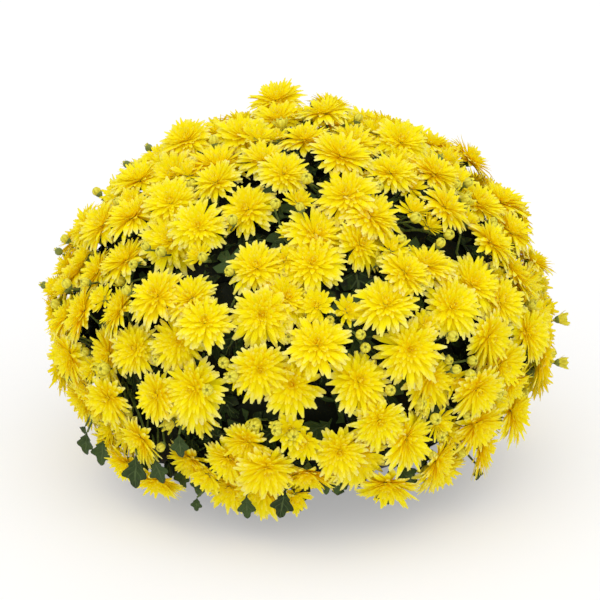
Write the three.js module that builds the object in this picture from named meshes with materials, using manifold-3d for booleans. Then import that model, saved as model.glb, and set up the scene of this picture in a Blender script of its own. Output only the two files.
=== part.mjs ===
// A pot chrysanthemum: a cushion-shaped plant, covered all over with small double yellow blooms, in a
// plain round nursery pot. Millimetres, +Z up. The origin is the middle of the pot's flat underside.
//
// The pieces are the pot, the soil in it, the woody crown that stands in the soil, and the sprays. Each
// spray is two pieces: a leafy stem that springs from the crown, and the bunch of blooms at its end. A
// petal of each bloom reaches over into the next one, so that a bunch holds together, and every bloom
// and every head of foliage keeps to its own share of the cushion, clear of the sprays round it.

import * as THREE from "three";
import { mergeVertices } from "three/addons/utils/BufferGeometryUtils.js";
import Module from "manifold-3d";

const wasm = await Module();
wasm.setup();

// ---------------------------------------------------------------- driving dimensions

const TOUCH = 0.4; // the gap between two pieces that touch

const POT = {
  height: 140,
  baseRadius: 66,
  topRadius: 93,
  wall: 2.4,
  floor: 3,
  band: 16, // height of the thicker band under the lip
  bandOut: 3,
  sides: 32,
  holes: 4,
  holeRadius: 5,
  holeSides: 6,
  holeCircle: 47,
};

const SOIL_TOP = 124;
const SOIL_SIDES = 16;

const CROWN = {
  stumpRadius: 9,
  knobRadius: 17,
  knobHeight: 19, // of the knob's middle over the soil
  depth: 45, // how far the stump goes down into the soil
  sides: 10,
};

// The cushion: bloom middles lie on this surface of revolution, close to an ellipse over the widest
// level and to another one under it. A slimness over 1 draws its shoulders in.
const CUSHION = { middle: 133, radius: 201, up: 168, down: 163, lowest: -91, slimness: 1.12 };

const SPRAYS = 24;
const BLOOMS = 198;
const GOLDEN_ANGLE = Math.PI * (3 - Math.sqrt(5));
const DOWN = new THREE.Vector3(0, 0, -1);

const BLOOM = {
  radius: [21, 25.5],
  gather: 0.03, // how far a bloom leans to the middle of its spray, as a share of its distance
  lift: 4, // how far a bloom stands over or under the cushion's surface
  wander: 2.5, // how far it strays along that surface
  tilt: 0.16,
  manyPetals: 24, // a bloom wider than this radius has a sixth petal in each layer
};

// A bloom's two layers of petals, as a radius and a height over the plane of the petals. The radii are
// shares of the bloom's own, and a range of heights is drawn from for each petal.
const LAYER = {
  lowerTip: { radius: 1, height: [-3.5, -1.5] },
  lowerNotch: { radius: 0.78, height: 0.5 },
  upperTip: { radius: 0.86, height: [6, 8] },
  upperNotch: { radius: 0.52, height: 5 },
  crest: 10,
  receptacle: -9.5,
  shortest: 0.92, // of a petal, as a share of the bloom's radius
  seatHeight: 2.6, // where the joining petal ends over the partner's plane
  seatRadius: 0.12, // and how near its middle, as a share of the partner's radius
};

const STEM = {
  baseRadius: 2.9,
  tipRadius: 2.0,
  sides: 4,
  steps: 4,
  lowestElevation: THREE.MathUtils.degToRad(26),
  reach: [44, 125], // how far the highest and the lowest stem keep to their first direction
  endDepth: 34,
  approach: 30, // how far before its end it turns to face outwards
};

// The depths are under the cushion's surface.
const FOLIAGE = {
  corners: 5,
  rimDepth: 25,
  droop: 0.16,
  footDepth: 46,
  widest: 62,
  apart: 2, // from the border with the next spray
  notch: 0.82,
  wave: 3,
};

const LEAF = {
  length: [34, 44],
  width: 0.74, // as a share of the length
  thickness: 1.6, // at the midrib
  fold: 0.14,
  arch: 0.2,
  sunk: 8, // how deep the root is in the foliage
  rise: [0.05, 0.4],
  swing: 0.5,
  lowSprayHeight: 118, // sprays whose middle is under this level carry the skirt of leaves
  lowestTip: 16,
  draws: 8,
};

// ---------------------------------------------------------------- materials

const finish = (color, roughness) => new THREE.MeshStandardMaterial({ color, roughness, metalness: 0 });

const materials = {
  pot: finish(0x2b2d2e, 0.55),
  soil: finish(0x2a1d14, 0.95),
  crown: finish(0x6b5a3a, 0.85),
  leaf: finish(0x34501f, 0.6),
  petal: finish(0xf6d80f, 0.55),
};

// ---------------------------------------------------------------- small tools

// A number from 0 to 1 that depends only on its two seeds.
function chance(index, salt) {
  let h = Math.imul(index + 1, 0x9e3779b1) ^ Math.imul(salt + 7, 0x85ebca6b);
  h = Math.imul(h ^ (h >>> 15), 0x2c1b3c6d);
  h = Math.imul(h ^ (h >>> 12), 0x297a2d39);
  return ((h ^ (h >>> 15)) >>> 0) / 4294967296;
}

const between = ([low, high], share) => low + (high - low) * share;

// A closed triangle mesh as a solid that can be joined and cut.
function solidOf(geometry) {
  const bare = geometry.index ? geometry.toNonIndexed() : geometry.clone();
  for (const extra of ["normal", "uv"]) bare.deleteAttribute(extra);
  const merged = mergeVertices(bare, 1e-4);
  return new wasm.Manifold(
    new wasm.Mesh({
      numProp: 3,
      vertProperties: merged.attributes.position.array,
      triVerts: new Uint32Array(merged.index.array),
    }),
  );
}

function geometryOf(solid) {
  const mesh = solid.getMesh();
  const geometry = new THREE.BufferGeometry();
  geometry.setAttribute("position", new THREE.BufferAttribute(new Float32Array(mesh.vertProperties), 3));
  geometry.setIndex(new THREE.BufferAttribute(new Uint32Array(mesh.triVerts), 1));
  geometry.computeVertexNormals();
  return geometry;
}

// Points and triangles as a geometry.
function facets(points, triangles) {
  const geometry = new THREE.BufferGeometry();
  const flat = points.flatMap((p) => [p.x, p.y, p.z]);
  geometry.setAttribute("position", new THREE.Float32BufferAttribute(flat, 3));
  geometry.setIndex(triangles.flat());
  return geometry;
}

function join(solids) {
  return solids.reduce((whole, piece) => whole.add(piece));
}

function overlaps(a, b) {
  return a.intersect(b).volume() > 0.001;
}

function piece(name, geometry, material) {
  const mesh = new THREE.Mesh(geometry, material);
  mesh.name = name;
  return mesh;
}

// A frame of three directions whose third one is `normal`, and whose first one points towards `toward`.
function frameFacing(normal, toward) {
  const across = toward.clone().addScaledVector(normal, -toward.dot(normal)).normalize();
  return { across, along: normal.clone().cross(across), normal };
}

// ---------------------------------------------------------------- pot, soil and crown

const potWallRadius = (z) => THREE.MathUtils.mapLinear(z, 0, POT.height, POT.baseRadius, POT.topRadius);

const lathe = (profile, sides) =>
  new THREE.LatheGeometry(profile.map(([r, z]) => new THREE.Vector2(r, z)), sides).rotateX(Math.PI / 2);

function makePot() {
  const { height, wall, floor, band, bandOut, sides } = POT;
  const bandFoot = height - band;
  const shell = lathe(
    [
      [0, 0],
      [POT.baseRadius, 0],
      [potWallRadius(bandFoot - bandOut), bandFoot - bandOut],
      [potWallRadius(bandFoot) + bandOut, bandFoot],
      [POT.topRadius + bandOut, height - 1.5],
      [POT.topRadius + bandOut - 1.5, height],
      [POT.topRadius - wall, height],
      [potWallRadius(floor) - wall, floor],
      [0, floor],
    ],
    sides,
  );
  const drain = new THREE.CylinderGeometry(POT.holeRadius, POT.holeRadius, floor * 3, POT.holeSides);
  drain.rotateX(Math.PI / 2).translate(POT.holeCircle, 0, 0);
  let solid = solidOf(shell);
  for (let k = 0; k < POT.holes; k++) {
    solid = solid.subtract(solidOf(drain.clone().rotateZ((2 * Math.PI * k) / POT.holes)));
  }
  return solid;
}

function makeSoil() {
  const foot = POT.floor + TOUCH;
  const inside = (z) => potWallRadius(z) - POT.wall - 2 * TOUCH;
  const holeRadius = CROWN.stumpRadius + TOUCH;
  const holeFoot = SOIL_TOP - CROWN.depth - TOUCH;
  return solidOf(
    lathe(
      [
        [0, foot],
        [inside(foot), foot],
        [inside(SOIL_TOP - 3), SOIL_TOP - 3],
        [inside(SOIL_TOP) * 0.7, SOIL_TOP],
        [holeRadius, SOIL_TOP],
        [holeRadius, holeFoot],
        [0, holeFoot],
      ],
      SOIL_SIDES,
    ),
  );
}

const KNOB = new THREE.Vector3(0, 0, SOIL_TOP + CROWN.knobHeight);

function makeCrown() {
  const { stumpRadius, knobRadius, depth, sides } = CROWN;
  const knob = [-60, -25, 10, 45].map((degrees) => {
    const elevation = THREE.MathUtils.degToRad(degrees);
    return [knobRadius * Math.cos(elevation), KNOB.z + knobRadius * Math.sin(elevation)];
  });
  const foot = SOIL_TOP - depth;
  const profile = [[0, foot], [stumpRadius * 0.7, foot], [stumpRadius, SOIL_TOP - 6], ...knob];
  return solidOf(lathe([...profile, [0, KNOB.z + knobRadius]], sides));
}

// ---------------------------------------------------------------- where sprays and blooms stand

// The radius and the height over the widest level, at an angle from the top.
function profileAt(angle) {
  const up = Math.cos(angle) > 0;
  return {
    r: CUSHION.radius * Math.sin(angle) ** (up ? CUSHION.slimness : 1),
    z: (up ? CUSHION.up : CUSHION.down) * Math.cos(angle),
  };
}

// The cushion's surface, cut into bands of known area, so that points can be spread over it evenly.
const PROFILE = (() => {
  const bands = 240;
  const last = Math.acos(CUSHION.lowest / CUSHION.down);
  const areas = [0];
  for (let k = 1; k <= bands; k++) {
    const a = profileAt((last * (k - 1)) / bands);
    const b = profileAt((last * k) / bands);
    areas.push(areas[k - 1] + (a.r + b.r) * Math.hypot(b.r - a.r, b.z - a.z));
  }
  return { bands, last, areas };
})();

// The angle from the top at which the cushion's surface has the given share of its area above it.
function polarAngle(share) {
  const { areas, bands, last } = PROFILE;
  const wanted = THREE.MathUtils.clamp(share, 0, 1) * areas[bands];
  let k = 1;
  while (k < bands && areas[k] < wanted) k++;
  return (last * (k - 1 + (wanted - areas[k - 1]) / (areas[k] - areas[k - 1]))) / bands;
}

// A point of the cushion and the direction that faces straight out of it there.
function cushionPoint(share, azimuth) {
  const polar = polarAngle(share);
  const { r, z } = profileAt(polar);
  const [before, after] = [profileAt(polar - 0.01), profileAt(polar + 0.01)];
  const slope = new THREE.Vector2(before.z - after.z, after.r - before.r).normalize();
  return {
    place: new THREE.Vector3(r * Math.cos(azimuth), r * Math.sin(azimuth), CUSHION.middle + z),
    normal: new THREE.Vector3(slope.x * Math.cos(azimuth), slope.x * Math.sin(azimuth), slope.y),
  };
}

const sprays = Array.from({ length: SPRAYS }, (_, index) => {
  const share = (index + 0.5) / SPRAYS;
  const azimuth = index * GOLDEN_ANGLE + 0.6;
  return { index, share, azimuth, blooms: [], ...cushionPoint(share, azimuth) };
});

function nearest(items, place) {
  return items.reduce((a, b) => (b.place.distanceTo(place) < a.place.distanceTo(place) ? b : a));
}

const blooms = Array.from({ length: BLOOMS }, (_, index) => {
  const { place, normal } = cushionPoint((index + 0.5) / BLOOMS, index * GOLDEN_ANGLE);
  const spray = nearest(sprays, place);
  const stray = (salt) => 2 * chance(index, salt) - 1;
  place.lerp(spray.place, BLOOM.gather);
  place.addScaledVector(normal, BLOOM.lift * stray(1));
  place.add(new THREE.Vector3(stray(2), stray(3), stray(4)).multiplyScalar(BLOOM.wander));
  normal.add(new THREE.Vector3(stray(5), stray(6), stray(7) + 0.5).multiplyScalar(BLOOM.tilt)).normalize();
  const bloom = { index, spray, place, normal, radius: between(BLOOM.radius, chance(index, 8)) };
  spray.blooms.push(bloom);
  return bloom;
});

// How far one may go from a point near a middle before coming too near the border with the next middle.
function roomToward(middle, others, from, way, clearance) {
  const start = from.clone().sub(middle.place);
  let room = Infinity;
  for (const other of others) {
    const step = other.place.clone().sub(middle.place);
    const facing = step.dot(way);
    const left = step.lengthSq() / 2 - clearance * step.length() - start.dot(step);
    if (facing > 0) room = Math.min(room, left / facing);
  }
  return room;
}

// Within a spray, each bloom overlaps the nearest one that is already joined to the middle bloom.
function joinBlooms(spray) {
  const waiting = [...spray.blooms];
  const first = nearest(waiting, spray.place);
  waiting.splice(waiting.indexOf(first), 1);
  const joined = [first];
  first.partner = null;
  while (waiting.length) {
    let best = null;
    for (const bloom of waiting)
      for (const partner of joined) {
        const gap = bloom.place.distanceTo(partner.place);
        if (!best || gap < best.gap) best = { bloom, partner, gap };
      }
    best.bloom.partner = best.partner;
    joined.push(best.bloom);
    waiting.splice(waiting.indexOf(best.bloom), 1);
  }
  spray.blooms = joined;
}

sprays.forEach(joinBlooms);

// ---------------------------------------------------------------- blooms

const receptacle = (bloom) => bloom.place.clone().addScaledVector(bloom.normal, LAYER.receptacle);

// The points round a bloom's lower and upper layer: petal tips, and notches between them. A tip of the
// upper layer stands over each notch of the lower one.
function petalRings(bloom, petals) {
  const { place, normal, radius, partner, index } = bloom;
  const toward = partner ? partner.place.clone().sub(place) : new THREE.Vector3(1, 0.3, 0.2);
  const { across, along } = frameFacing(normal, toward);
  const at = (r, turn, height) => {
    const way = new THREE.Vector3()
      .addScaledVector(across, r * Math.cos(turn))
      .addScaledVector(along, r * Math.sin(turn))
      .addScaledVector(normal, height);
    const reach = way.length();
    way.normalize();
    const room = roomToward(bloom, blooms, place, way, TOUCH);
    return place.clone().addScaledVector(way, Math.min(reach, room));
  };
  const lower = [];
  const upper = [];
  for (let k = 0; k < 2 * petals; k++) {
    const turn = (Math.PI * k) / petals;
    const full = radius * between([LAYER.shortest, 1], chance(index, 20 + k));
    const tip = (layer) => at(full * layer.radius, turn, between(layer.height, chance(index, 40 + k)));
    const notch = (layer) => at(radius * layer.radius, turn, layer.height);
    const outward = k % 2 === 0;
    lower.push(outward ? tip(LAYER.lowerTip) : notch(LAYER.lowerNotch));
    upper.push(outward ? notch(LAYER.upperNotch) : tip(LAYER.upperTip));
  }
  if (partner) {
    const seat = partner.place.clone().addScaledVector(partner.normal, LAYER.seatHeight);
    const back = place.clone().sub(seat).normalize();
    lower[0] = seat.addScaledVector(back, partner.radius * LAYER.seatRadius);
  }
  return [lower, upper];
}

// The petal that points to the bloom's partner is long enough to sink into it.
function makeBloom(bloom) {
  const petals = bloom.radius > BLOOM.manyPetals ? 6 : 5;
  const [lower, upper] = petalRings(bloom, petals);
  const count = 2 * petals;
  const bottom = 2 * count;
  const top = bottom + 1;
  const triangles = [];
  for (let k = 0; k < count; k++) {
    const next = (k + 1) % count;
    triangles.push([bottom, next, k]);
    // The fold of each petal runs from its tip to the middle.
    if (k % 2 === 0) triangles.push([k, next, count + k], [next, count + next, count + k]);
    else triangles.push([k, next, count + next], [k, count + next, count + k]);
    triangles.push([count + k, count + next, top]);
  }
  const crest = bloom.place.clone().addScaledVector(bloom.normal, LAYER.crest);
  return solidOf(facets([...lower, ...upper, receptacle(bloom), crest], triangles));
}

const makeBunch = (spray) => join(spray.blooms.map(makeBloom));

// ---------------------------------------------------------------- stems and leaves

// A closed tube of a few sides through the points, with a radius at each one.
function rod(points, radii, sides) {
  const last = points.length - 1;
  const rings = points.map((point, k) => {
    const way = points[Math.min(k + 1, last)].clone().sub(points[Math.max(k - 1, 0)]).normalize();
    const { across, along } = frameFacing(way, Math.abs(way.z) < 0.9 ? new THREE.Vector3(0, 0, 1) : point);
    return Array.from({ length: sides }, (_, s) => {
      const turn = (2 * Math.PI * s) / sides;
      return point
        .clone()
        .addScaledVector(across, radii[k] * Math.cos(turn))
        .addScaledVector(along, radii[k] * Math.sin(turn));
    });
  });
  const triangles = [];
  for (let k = 0; k < last; k++)
    for (let s = 0; s < sides; s++) {
      const [a, b] = [k * sides + s, k * sides + ((s + 1) % sides)];
      triangles.push([a, b, b + sides], [a, b + sides, a + sides]);
    }
  for (let s = 1; s < sides - 1; s++) {
    triangles.push([0, s + 1, s], [last * sides, last * sides + s, last * sides + s + 1]);
  }
  return solidOf(facets(rings.flat(), triangles));
}

// The line of a spray's stem, from the crown's knob out into the foliage.
function stemCurve(spray) {
  const elevation = Math.asin(1 - spray.share * (1 - Math.sin(STEM.lowestElevation)));
  const way = new THREE.Vector3(
    Math.cos(elevation) * Math.cos(spray.azimuth),
    Math.cos(elevation) * Math.sin(spray.azimuth),
    Math.sin(elevation),
  );
  const end = spray.place.clone().addScaledVector(spray.normal, -STEM.endDepth);
  const reach = between(STEM.reach, spray.share);
  return new THREE.CubicBezierCurve3(
    KNOB.clone().addScaledVector(way, CROWN.knobRadius + 3 * TOUCH),
    KNOB.clone().addScaledVector(way, reach),
    end.clone().addScaledVector(spray.normal, -STEM.approach),
    end,
  );
}

function makeStem(curve) {
  const points = curve.getPoints(STEM.steps);
  const radii = points.map((_, k) => between([STEM.baseRadius, STEM.tipRadius], k / STEM.steps));
  return rod(points, radii, STEM.sides);
}

// A leaf with five lobes: the outline of its right half between the root and the tip, as shares of the
// leaf's length and of half its width.
const HALF_LEAF = [
  [0.3, 0.66],
  [0.44, 0.42],
  [0.64, 1.0],
  [0.74, 0.5],
];
const RIB = 0.5; // where the midrib is thickest

function makeLeaf(root, way, up, length) {
  const { across: side, normal: forward } = frameFacing(way, up.clone().cross(way));
  const face = forward.clone().cross(side);
  const halfWidth = (length * LEAF.width) / 2;
  const point = (x, y, lift) => {
    const drop = LEAF.arch * length * x * x + LEAF.fold * Math.abs(y) * halfWidth * 2;
    return root
      .clone()
      .addScaledVector(forward, x * length)
      .addScaledVector(side, y * halfWidth)
      .addScaledVector(face, lift - drop);
  };
  const right = HALF_LEAF.map(([x, y]) => point(x, y, 0));
  const left = HALF_LEAF.map(([x, y]) => point(x, -y, 0)).reverse();
  const outline = [point(0, 0, 0), ...right, point(1, 0, 0), ...left];
  const count = outline.length;
  const triangles = [];
  for (let k = 0; k < count; k++) {
    const next = (k + 1) % count;
    triangles.push([next, k, count + 1], [k, next, count]);
  }
  const ribs = [0.5, -0.5].map((s) => point(RIB, 0, s * LEAF.thickness));
  return solidOf(facets([...outline, ribs[1], ribs[0]], triangles));
}

// The rim of the dense foliage at the head of a spray's stem: corners that reach out towards the sprays
// round it, and notches between them.
function foliageRim(spray) {
  const { place, normal } = spray;
  const { across, along } = frameFacing(normal, DOWN);
  return Array.from({ length: 2 * FOLIAGE.corners }, (_, k) => {
    const turn = (Math.PI * k) / FOLIAGE.corners;
    const corner = k % 2 === 0;
    const from = place.clone().addScaledVector(normal, -FOLIAGE.rimDepth - (corner ? 0 : FOLIAGE.wave));
    const way = across
      .clone()
      .multiplyScalar(Math.cos(turn))
      .addScaledVector(along, Math.sin(turn))
      .addScaledVector(normal, -FOLIAGE.droop)
      .normalize();
    const room = Math.min(FOLIAGE.widest, roomToward(spray, sprays, from, way, FOLIAGE.apart));
    return { point: from.addScaledVector(way, room * (corner ? 1 : FOLIAGE.notch)), way, corner };
  });
}

// The dense foliage under a spray's blooms, which the leaves stand out of. Its top narrows to the stalk
// that carries the spray's middle bloom.
function makeFoliage(spray, rim) {
  const head = spray.blooms[0];
  const top = receptacle(head).addScaledVector(head.normal, -TOUCH);
  const foot = spray.place.clone().addScaledVector(spray.normal, -FOLIAGE.footDepth);
  const count = rim.length;
  const triangles = [];
  for (let k = 0; k < count; k++) {
    const next = (k + 1) % count;
    triangles.push([k, next, count], [next, k, count + 1]);
  }
  return solidOf(facets([...rim.map(({ point }) => point), top, foot], triangles));
}

// A leaf stands out of each corner of the foliage, under the blooms, and the lowest sprays have more,
// which hang down over the pot. A leaf that would cross another piece is drawn again.
function addLeaves(spray, rim, bare, others) {
  const corners = rim.filter(({ corner }) => corner);
  const hanging = spray.place.z < LEAF.lowSprayHeight ? corners.filter(({ way }) => way.z < 0.2) : [];
  const places = [...corners.map((from) => [from, coverLeaf]), ...hanging.map((from) => [from, skirtLeaf])];
  return places.reduce((leafy, [from, shape], place) => {
    for (let draw = 0; draw < LEAF.draws; draw++) {
      const leaf = shape(spray, from, spray.index * 1000 + place * 50 + draw);
      const clear = leaf.boundingBox().min[2] > LEAF.lowestTip && !others.some((o) => overlaps(o, leaf));
      if (clear) return leafy.add(leaf);
    }
    return leafy;
  }, bare);
}

function coverLeaf(spray, { point, way }, seed) {
  const { along } = frameFacing(spray.normal, way);
  const forward = way
    .clone()
    .addScaledVector(spray.normal, between(LEAF.rise, chance(seed, 82)))
    .addScaledVector(along, LEAF.swing * (2 * chance(seed, 83) - 1))
    .normalize();
  const root = point.clone().addScaledVector(way, -LEAF.sunk);
  return makeLeaf(root, forward, spray.normal, between(LEAF.length, chance(seed, 81)));
}

function skirtLeaf(spray, { point, way }, seed) {
  const { along: aside } = frameFacing(spray.normal, DOWN);
  const forward = DOWN.clone()
    .addScaledVector(spray.normal, 0.5 * chance(seed, 84))
    .addScaledVector(aside, 2 * chance(seed, 85) - 1)
    .normalize();
  const root = point.clone().addScaledVector(way, -1.4 * LEAF.sunk).addScaledVector(spray.normal, -1);
  return makeLeaf(root, forward, spray.normal, between(LEAF.length, chance(seed, 86)));
}

function makeLeafyStems(bunches, standing) {
  const curves = sprays.map(stemCurve);
  const rims = sprays.map(foliageRim);
  const bare = sprays.map((spray, k) => {
    return makeStem(curves[k]).add(makeFoliage(spray, rims[k]));
  });
  const leafy = [...bare];
  sprays.forEach((spray, k) => {
    const others = [...bunches, ...standing, ...leafy.filter((_, other) => other !== k)];
    leafy[k] = addLeaves(spray, rims[k], bare[k], others);
  });
  return leafy;
}

// ---------------------------------------------------------------- the whole plant

const pot = makePot();
const soil = makeSoil();
const crown = makeCrown();
const bunches = sprays.map(makeBunch);
const leafyStems = makeLeafyStems(bunches, [pot, soil, crown]);

const chrysanthemum = new THREE.Group();
chrysanthemum.add(piece("pot", geometryOf(pot), materials.pot));
chrysanthemum.add(piece("soil", geometryOf(soil), materials.soil));
chrysanthemum.add(piece("crown", geometryOf(crown), materials.crown));
sprays.forEach((spray, k) => {
  const number = String(k + 1).padStart(2, "0");
  const group = new THREE.Group();
  group.add(piece(`leafy_stem_${number}`, geometryOf(leafyStems[k]), materials.leaf));
  group.add(piece(`bloom_bunch_${number}`, geometryOf(bunches[k]), materials.petal));
  chrysanthemum.add(group);
});

export default chrysanthemum;
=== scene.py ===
"""A pot chrysanthemum: a cushion of small double yellow blooms over dark lobed leaves, in a nursery pot.

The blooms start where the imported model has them, by the same rule: points of a golden spiral on the
cushion's surface, each strayed a little. They then make room for the gaps and for each other, and the
cushion swells in places. Metres, +Z up, the origin under the middle of the pot.
"""

from __future__ import annotations

import logging
import math
from collections.abc import Callable, Iterable, Iterator, Sequence
from contextlib import contextmanager
from dataclasses import dataclass, field
from enum import Enum, IntEnum
from functools import cached_property
from itertools import pairwise

import bmesh
import bpy
import numpy as np
from mathutils import Matrix, Quaternion, Vector


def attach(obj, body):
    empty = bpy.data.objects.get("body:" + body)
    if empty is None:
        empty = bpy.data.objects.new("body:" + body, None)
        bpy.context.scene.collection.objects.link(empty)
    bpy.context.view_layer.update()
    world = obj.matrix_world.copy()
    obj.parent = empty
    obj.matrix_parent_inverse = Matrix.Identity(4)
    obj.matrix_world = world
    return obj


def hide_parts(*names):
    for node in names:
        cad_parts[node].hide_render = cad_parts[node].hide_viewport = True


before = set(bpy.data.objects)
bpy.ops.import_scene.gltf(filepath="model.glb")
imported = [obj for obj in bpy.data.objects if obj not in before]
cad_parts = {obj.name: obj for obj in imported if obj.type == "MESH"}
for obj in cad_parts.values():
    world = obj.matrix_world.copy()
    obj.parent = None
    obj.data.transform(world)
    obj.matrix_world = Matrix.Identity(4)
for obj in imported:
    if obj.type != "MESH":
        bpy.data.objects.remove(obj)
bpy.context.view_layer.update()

logging.basicConfig(level=logging.INFO, format="%(message)s")
log = logging.getLogger("chrysanthemum")

BODY = "root"
GOLDEN_ANGLE = math.pi * (3 - math.sqrt(5))
MM = 0.001
UP = Vector((0, 0, 1))
DOWN = Vector((0, 0, -1))
VIEW_ELEVATION = math.radians(21)

Colour = tuple[float, float, float, float]


# ---------------------------------------------------------------- seeded draws and directions


class Seed(IntEnum):
    """Where the seeds of each kind of bud, small bloom or leaf start."""

    SMALL_BLOOM = 1000
    POKE = 3000
    GAP_BUD = 4000
    LEAF = 5000
    SKIRT_LEAF = 9000
    BACKING_LEAF = 12000
    HANGING_LEAF = 13000
    THICKET_LEAF = 14000
    FLAT_LEAF = 15000


def chance(index: int, salt: int) -> float:
    """A number from 0 to 1 that depends only on its two seeds.

    Args:
        index: The seed of the thing that the draw is for.
        salt: The seed of the draw's purpose.

    Returns:
        The drawn number.
    """
    word = 0xFFFFFFFF
    h = ((index + 1) * 0x9E3779B1 ^ (salt + 7) * 0x85EBCA6B) & word
    h = ((h ^ (h >> 15)) * 0x2C1B3C6D) & word
    h = ((h ^ (h >> 12)) * 0x297A2D39) & word
    return (h ^ (h >> 15)) / (word + 1)


def between(span: tuple[float, float], share: float) -> float:
    """The number at a share of the way through a span."""
    return span[0] + (span[1] - span[0]) * share


def stray(index: int, salt: int) -> float:
    """A seeded number from -1 to 1."""
    return 2 * chance(index, salt) - 1


def across_of(normal: Vector, toward: Vector) -> Vector:
    """The direction square to a normal that points most nearly towards another one."""
    return (toward - toward.dot(normal) * normal).normalized()


def across_distance(normal: Vector, start: Vector, end: Vector, near: float = 20 * MM) -> float:
    """How far apart two points are, square to a normal.

    Args:
        normal: The normal.
        start: The first point.
        end: The second point.
        near: How far apart along the normal the points may be.

    Returns:
        The distance, which is infinite if the points are further apart than that along the normal.
    """
    step = end - start
    along = step.dot(normal)
    return (step - along * normal).length if abs(along) < near else math.inf


def stand_matrix(place: Vector, normal: Vector, spin: float, scale: float = 1.0) -> Matrix:
    """Where a piece modelled at the origin, facing +Z, goes.

    Args:
        place: Where its origin goes.
        normal: Where its +Z points.
        spin: How far it is turned about its own +Z, in radians.
        scale: How much larger it gets.

    Returns:
        The transform of the piece.
    """
    turned = UP.rotation_difference(normal).to_matrix().to_4x4() @ Matrix.Rotation(spin, 4, "Z")
    return Matrix.Translation(place) @ turned @ Matrix.Scale(scale, 4)


def axes_matrix(place: Vector, forward: Vector, face: Vector, scale: float = 1.0) -> Matrix:
    """Where a piece modelled along +Y, with its face up, goes.

    Args:
        place: Where its origin goes.
        forward: Where its +Y points.
        face: Roughly where its +Z points.
        scale: How much larger it gets.

    Returns:
        The transform of the piece.
    """
    ahead = forward.normalized()
    upward = across_of(ahead, face)
    side = ahead.cross(upward)
    turned = Matrix((side, ahead, upward)).transposed().to_4x4()
    return Matrix.Translation(place) @ turned @ Matrix.Scale(scale, 4)


# ---------------------------------------------------------------- modelling by hand


def deselect_all() -> None:
    """Leaves no object selected."""
    bpy.ops.object.select_all(action="DESELECT")


@contextmanager
def editing(piece: bpy.types.Object) -> Iterator[None]:
    """Opens a piece in edit mode, with vertex selection, and closes it again.

    Args:
        piece: The mesh object to edit.
    """
    deselect_all()
    piece.select_set(True)
    bpy.context.view_layer.objects.active = piece
    bpy.ops.object.mode_set(mode="EDIT")
    bpy.ops.mesh.select_mode(type="VERT")
    yield
    bpy.ops.object.mode_set(mode="OBJECT")


def select_where(piece: bpy.types.Object, test: Callable[[Vector], bool]) -> None:
    """In edit mode, selects the vertices whose place passes a test, and no others.

    Args:
        piece: The mesh object in edit mode.
        test: Says for a vertex's place whether it is selected.
    """
    bpy.ops.mesh.select_all(action="DESELECT")
    mesh = bmesh.from_edit_mesh(piece.data)
    for vertex in mesh.verts:
        vertex.select_set(test(vertex.co))
    mesh.select_flush_mode()
    bmesh.update_edit_mesh(piece.data)


def apply_modifiers(piece: bpy.types.Object) -> None:
    """Applies all of a piece's modifiers in their order."""
    deselect_all()
    bpy.context.view_layer.objects.active = piece
    piece.select_set(True)
    for modifier in list(piece.modifiers):
        bpy.ops.object.modifier_apply(modifier=modifier.name)


def smooth(piece: bpy.types.Object, degrees: float) -> None:
    """Shades a piece smooth, apart from edges sharper than an angle."""
    deselect_all()
    bpy.context.view_layer.objects.active = piece
    piece.select_set(True)
    bpy.ops.object.shade_smooth_by_angle(angle=math.radians(degrees))


def copy_of(pattern: bpy.types.Object, transform: Matrix) -> bpy.types.Object:
    """A copy of a piece with its own mesh, moved into place within that mesh.

    Args:
        pattern: The piece to copy.
        transform: Where the copy's mesh goes.

    Returns:
        The copy.
    """
    copy = pattern.copy()
    copy.data = pattern.data.copy()
    copy.data.transform(transform)
    bpy.context.scene.collection.objects.link(copy)
    return copy


def join(name: str, parts: Sequence[bpy.types.Object]) -> bpy.types.Object:
    """Joins several mesh objects into one.

    Args:
        name: The name of the joined piece.
        parts: The objects, the first of which takes in the others.

    Returns:
        The joined piece.
    """
    deselect_all()
    for part in parts:
        part.select_set(True)
    bpy.context.view_layer.objects.active = parts[0]
    bpy.ops.object.join()
    parts[0].name = name
    parts[0].data.name = name
    return parts[0]


def discard(pieces: Iterable[bpy.types.Object]) -> None:
    """Removes the patterns that copies were made from."""
    for piece in pieces:
        bpy.data.objects.remove(piece)


def places_of(piece: bpy.types.Object) -> np.ndarray:
    """The places of a mesh's vertices, one row for each."""
    flat = np.empty(len(piece.data.vertices) * 3, np.float32)
    piece.data.vertices.foreach_get("co", flat)
    return flat.reshape(-1, 3)


def set_places(piece: bpy.types.Object, places: np.ndarray) -> None:
    """Moves a mesh's vertices."""
    piece.data.vertices.foreach_set("co", places.astype(np.float32).ravel())
    piece.data.update()


def mark(piece: bpy.types.Object, attribute: str, values: float | np.ndarray) -> None:
    """Writes a number on each vertex, for the materials to read.

    Args:
        piece: The mesh object.
        attribute: The attribute's name.
        values: One number for all vertices, or one for each.
    """
    data = piece.data.attributes.get(attribute) or piece.data.attributes.new(attribute, "FLOAT", "POINT")
    data.data.foreach_set("value", np.broadcast_to(values, len(piece.data.vertices)).astype(np.float32))


@dataclass(frozen=True)
class Section:
    """One cross-section of a lofted piece."""

    along: float
    width: float
    depth: float
    lift: float = 0.0


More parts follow.
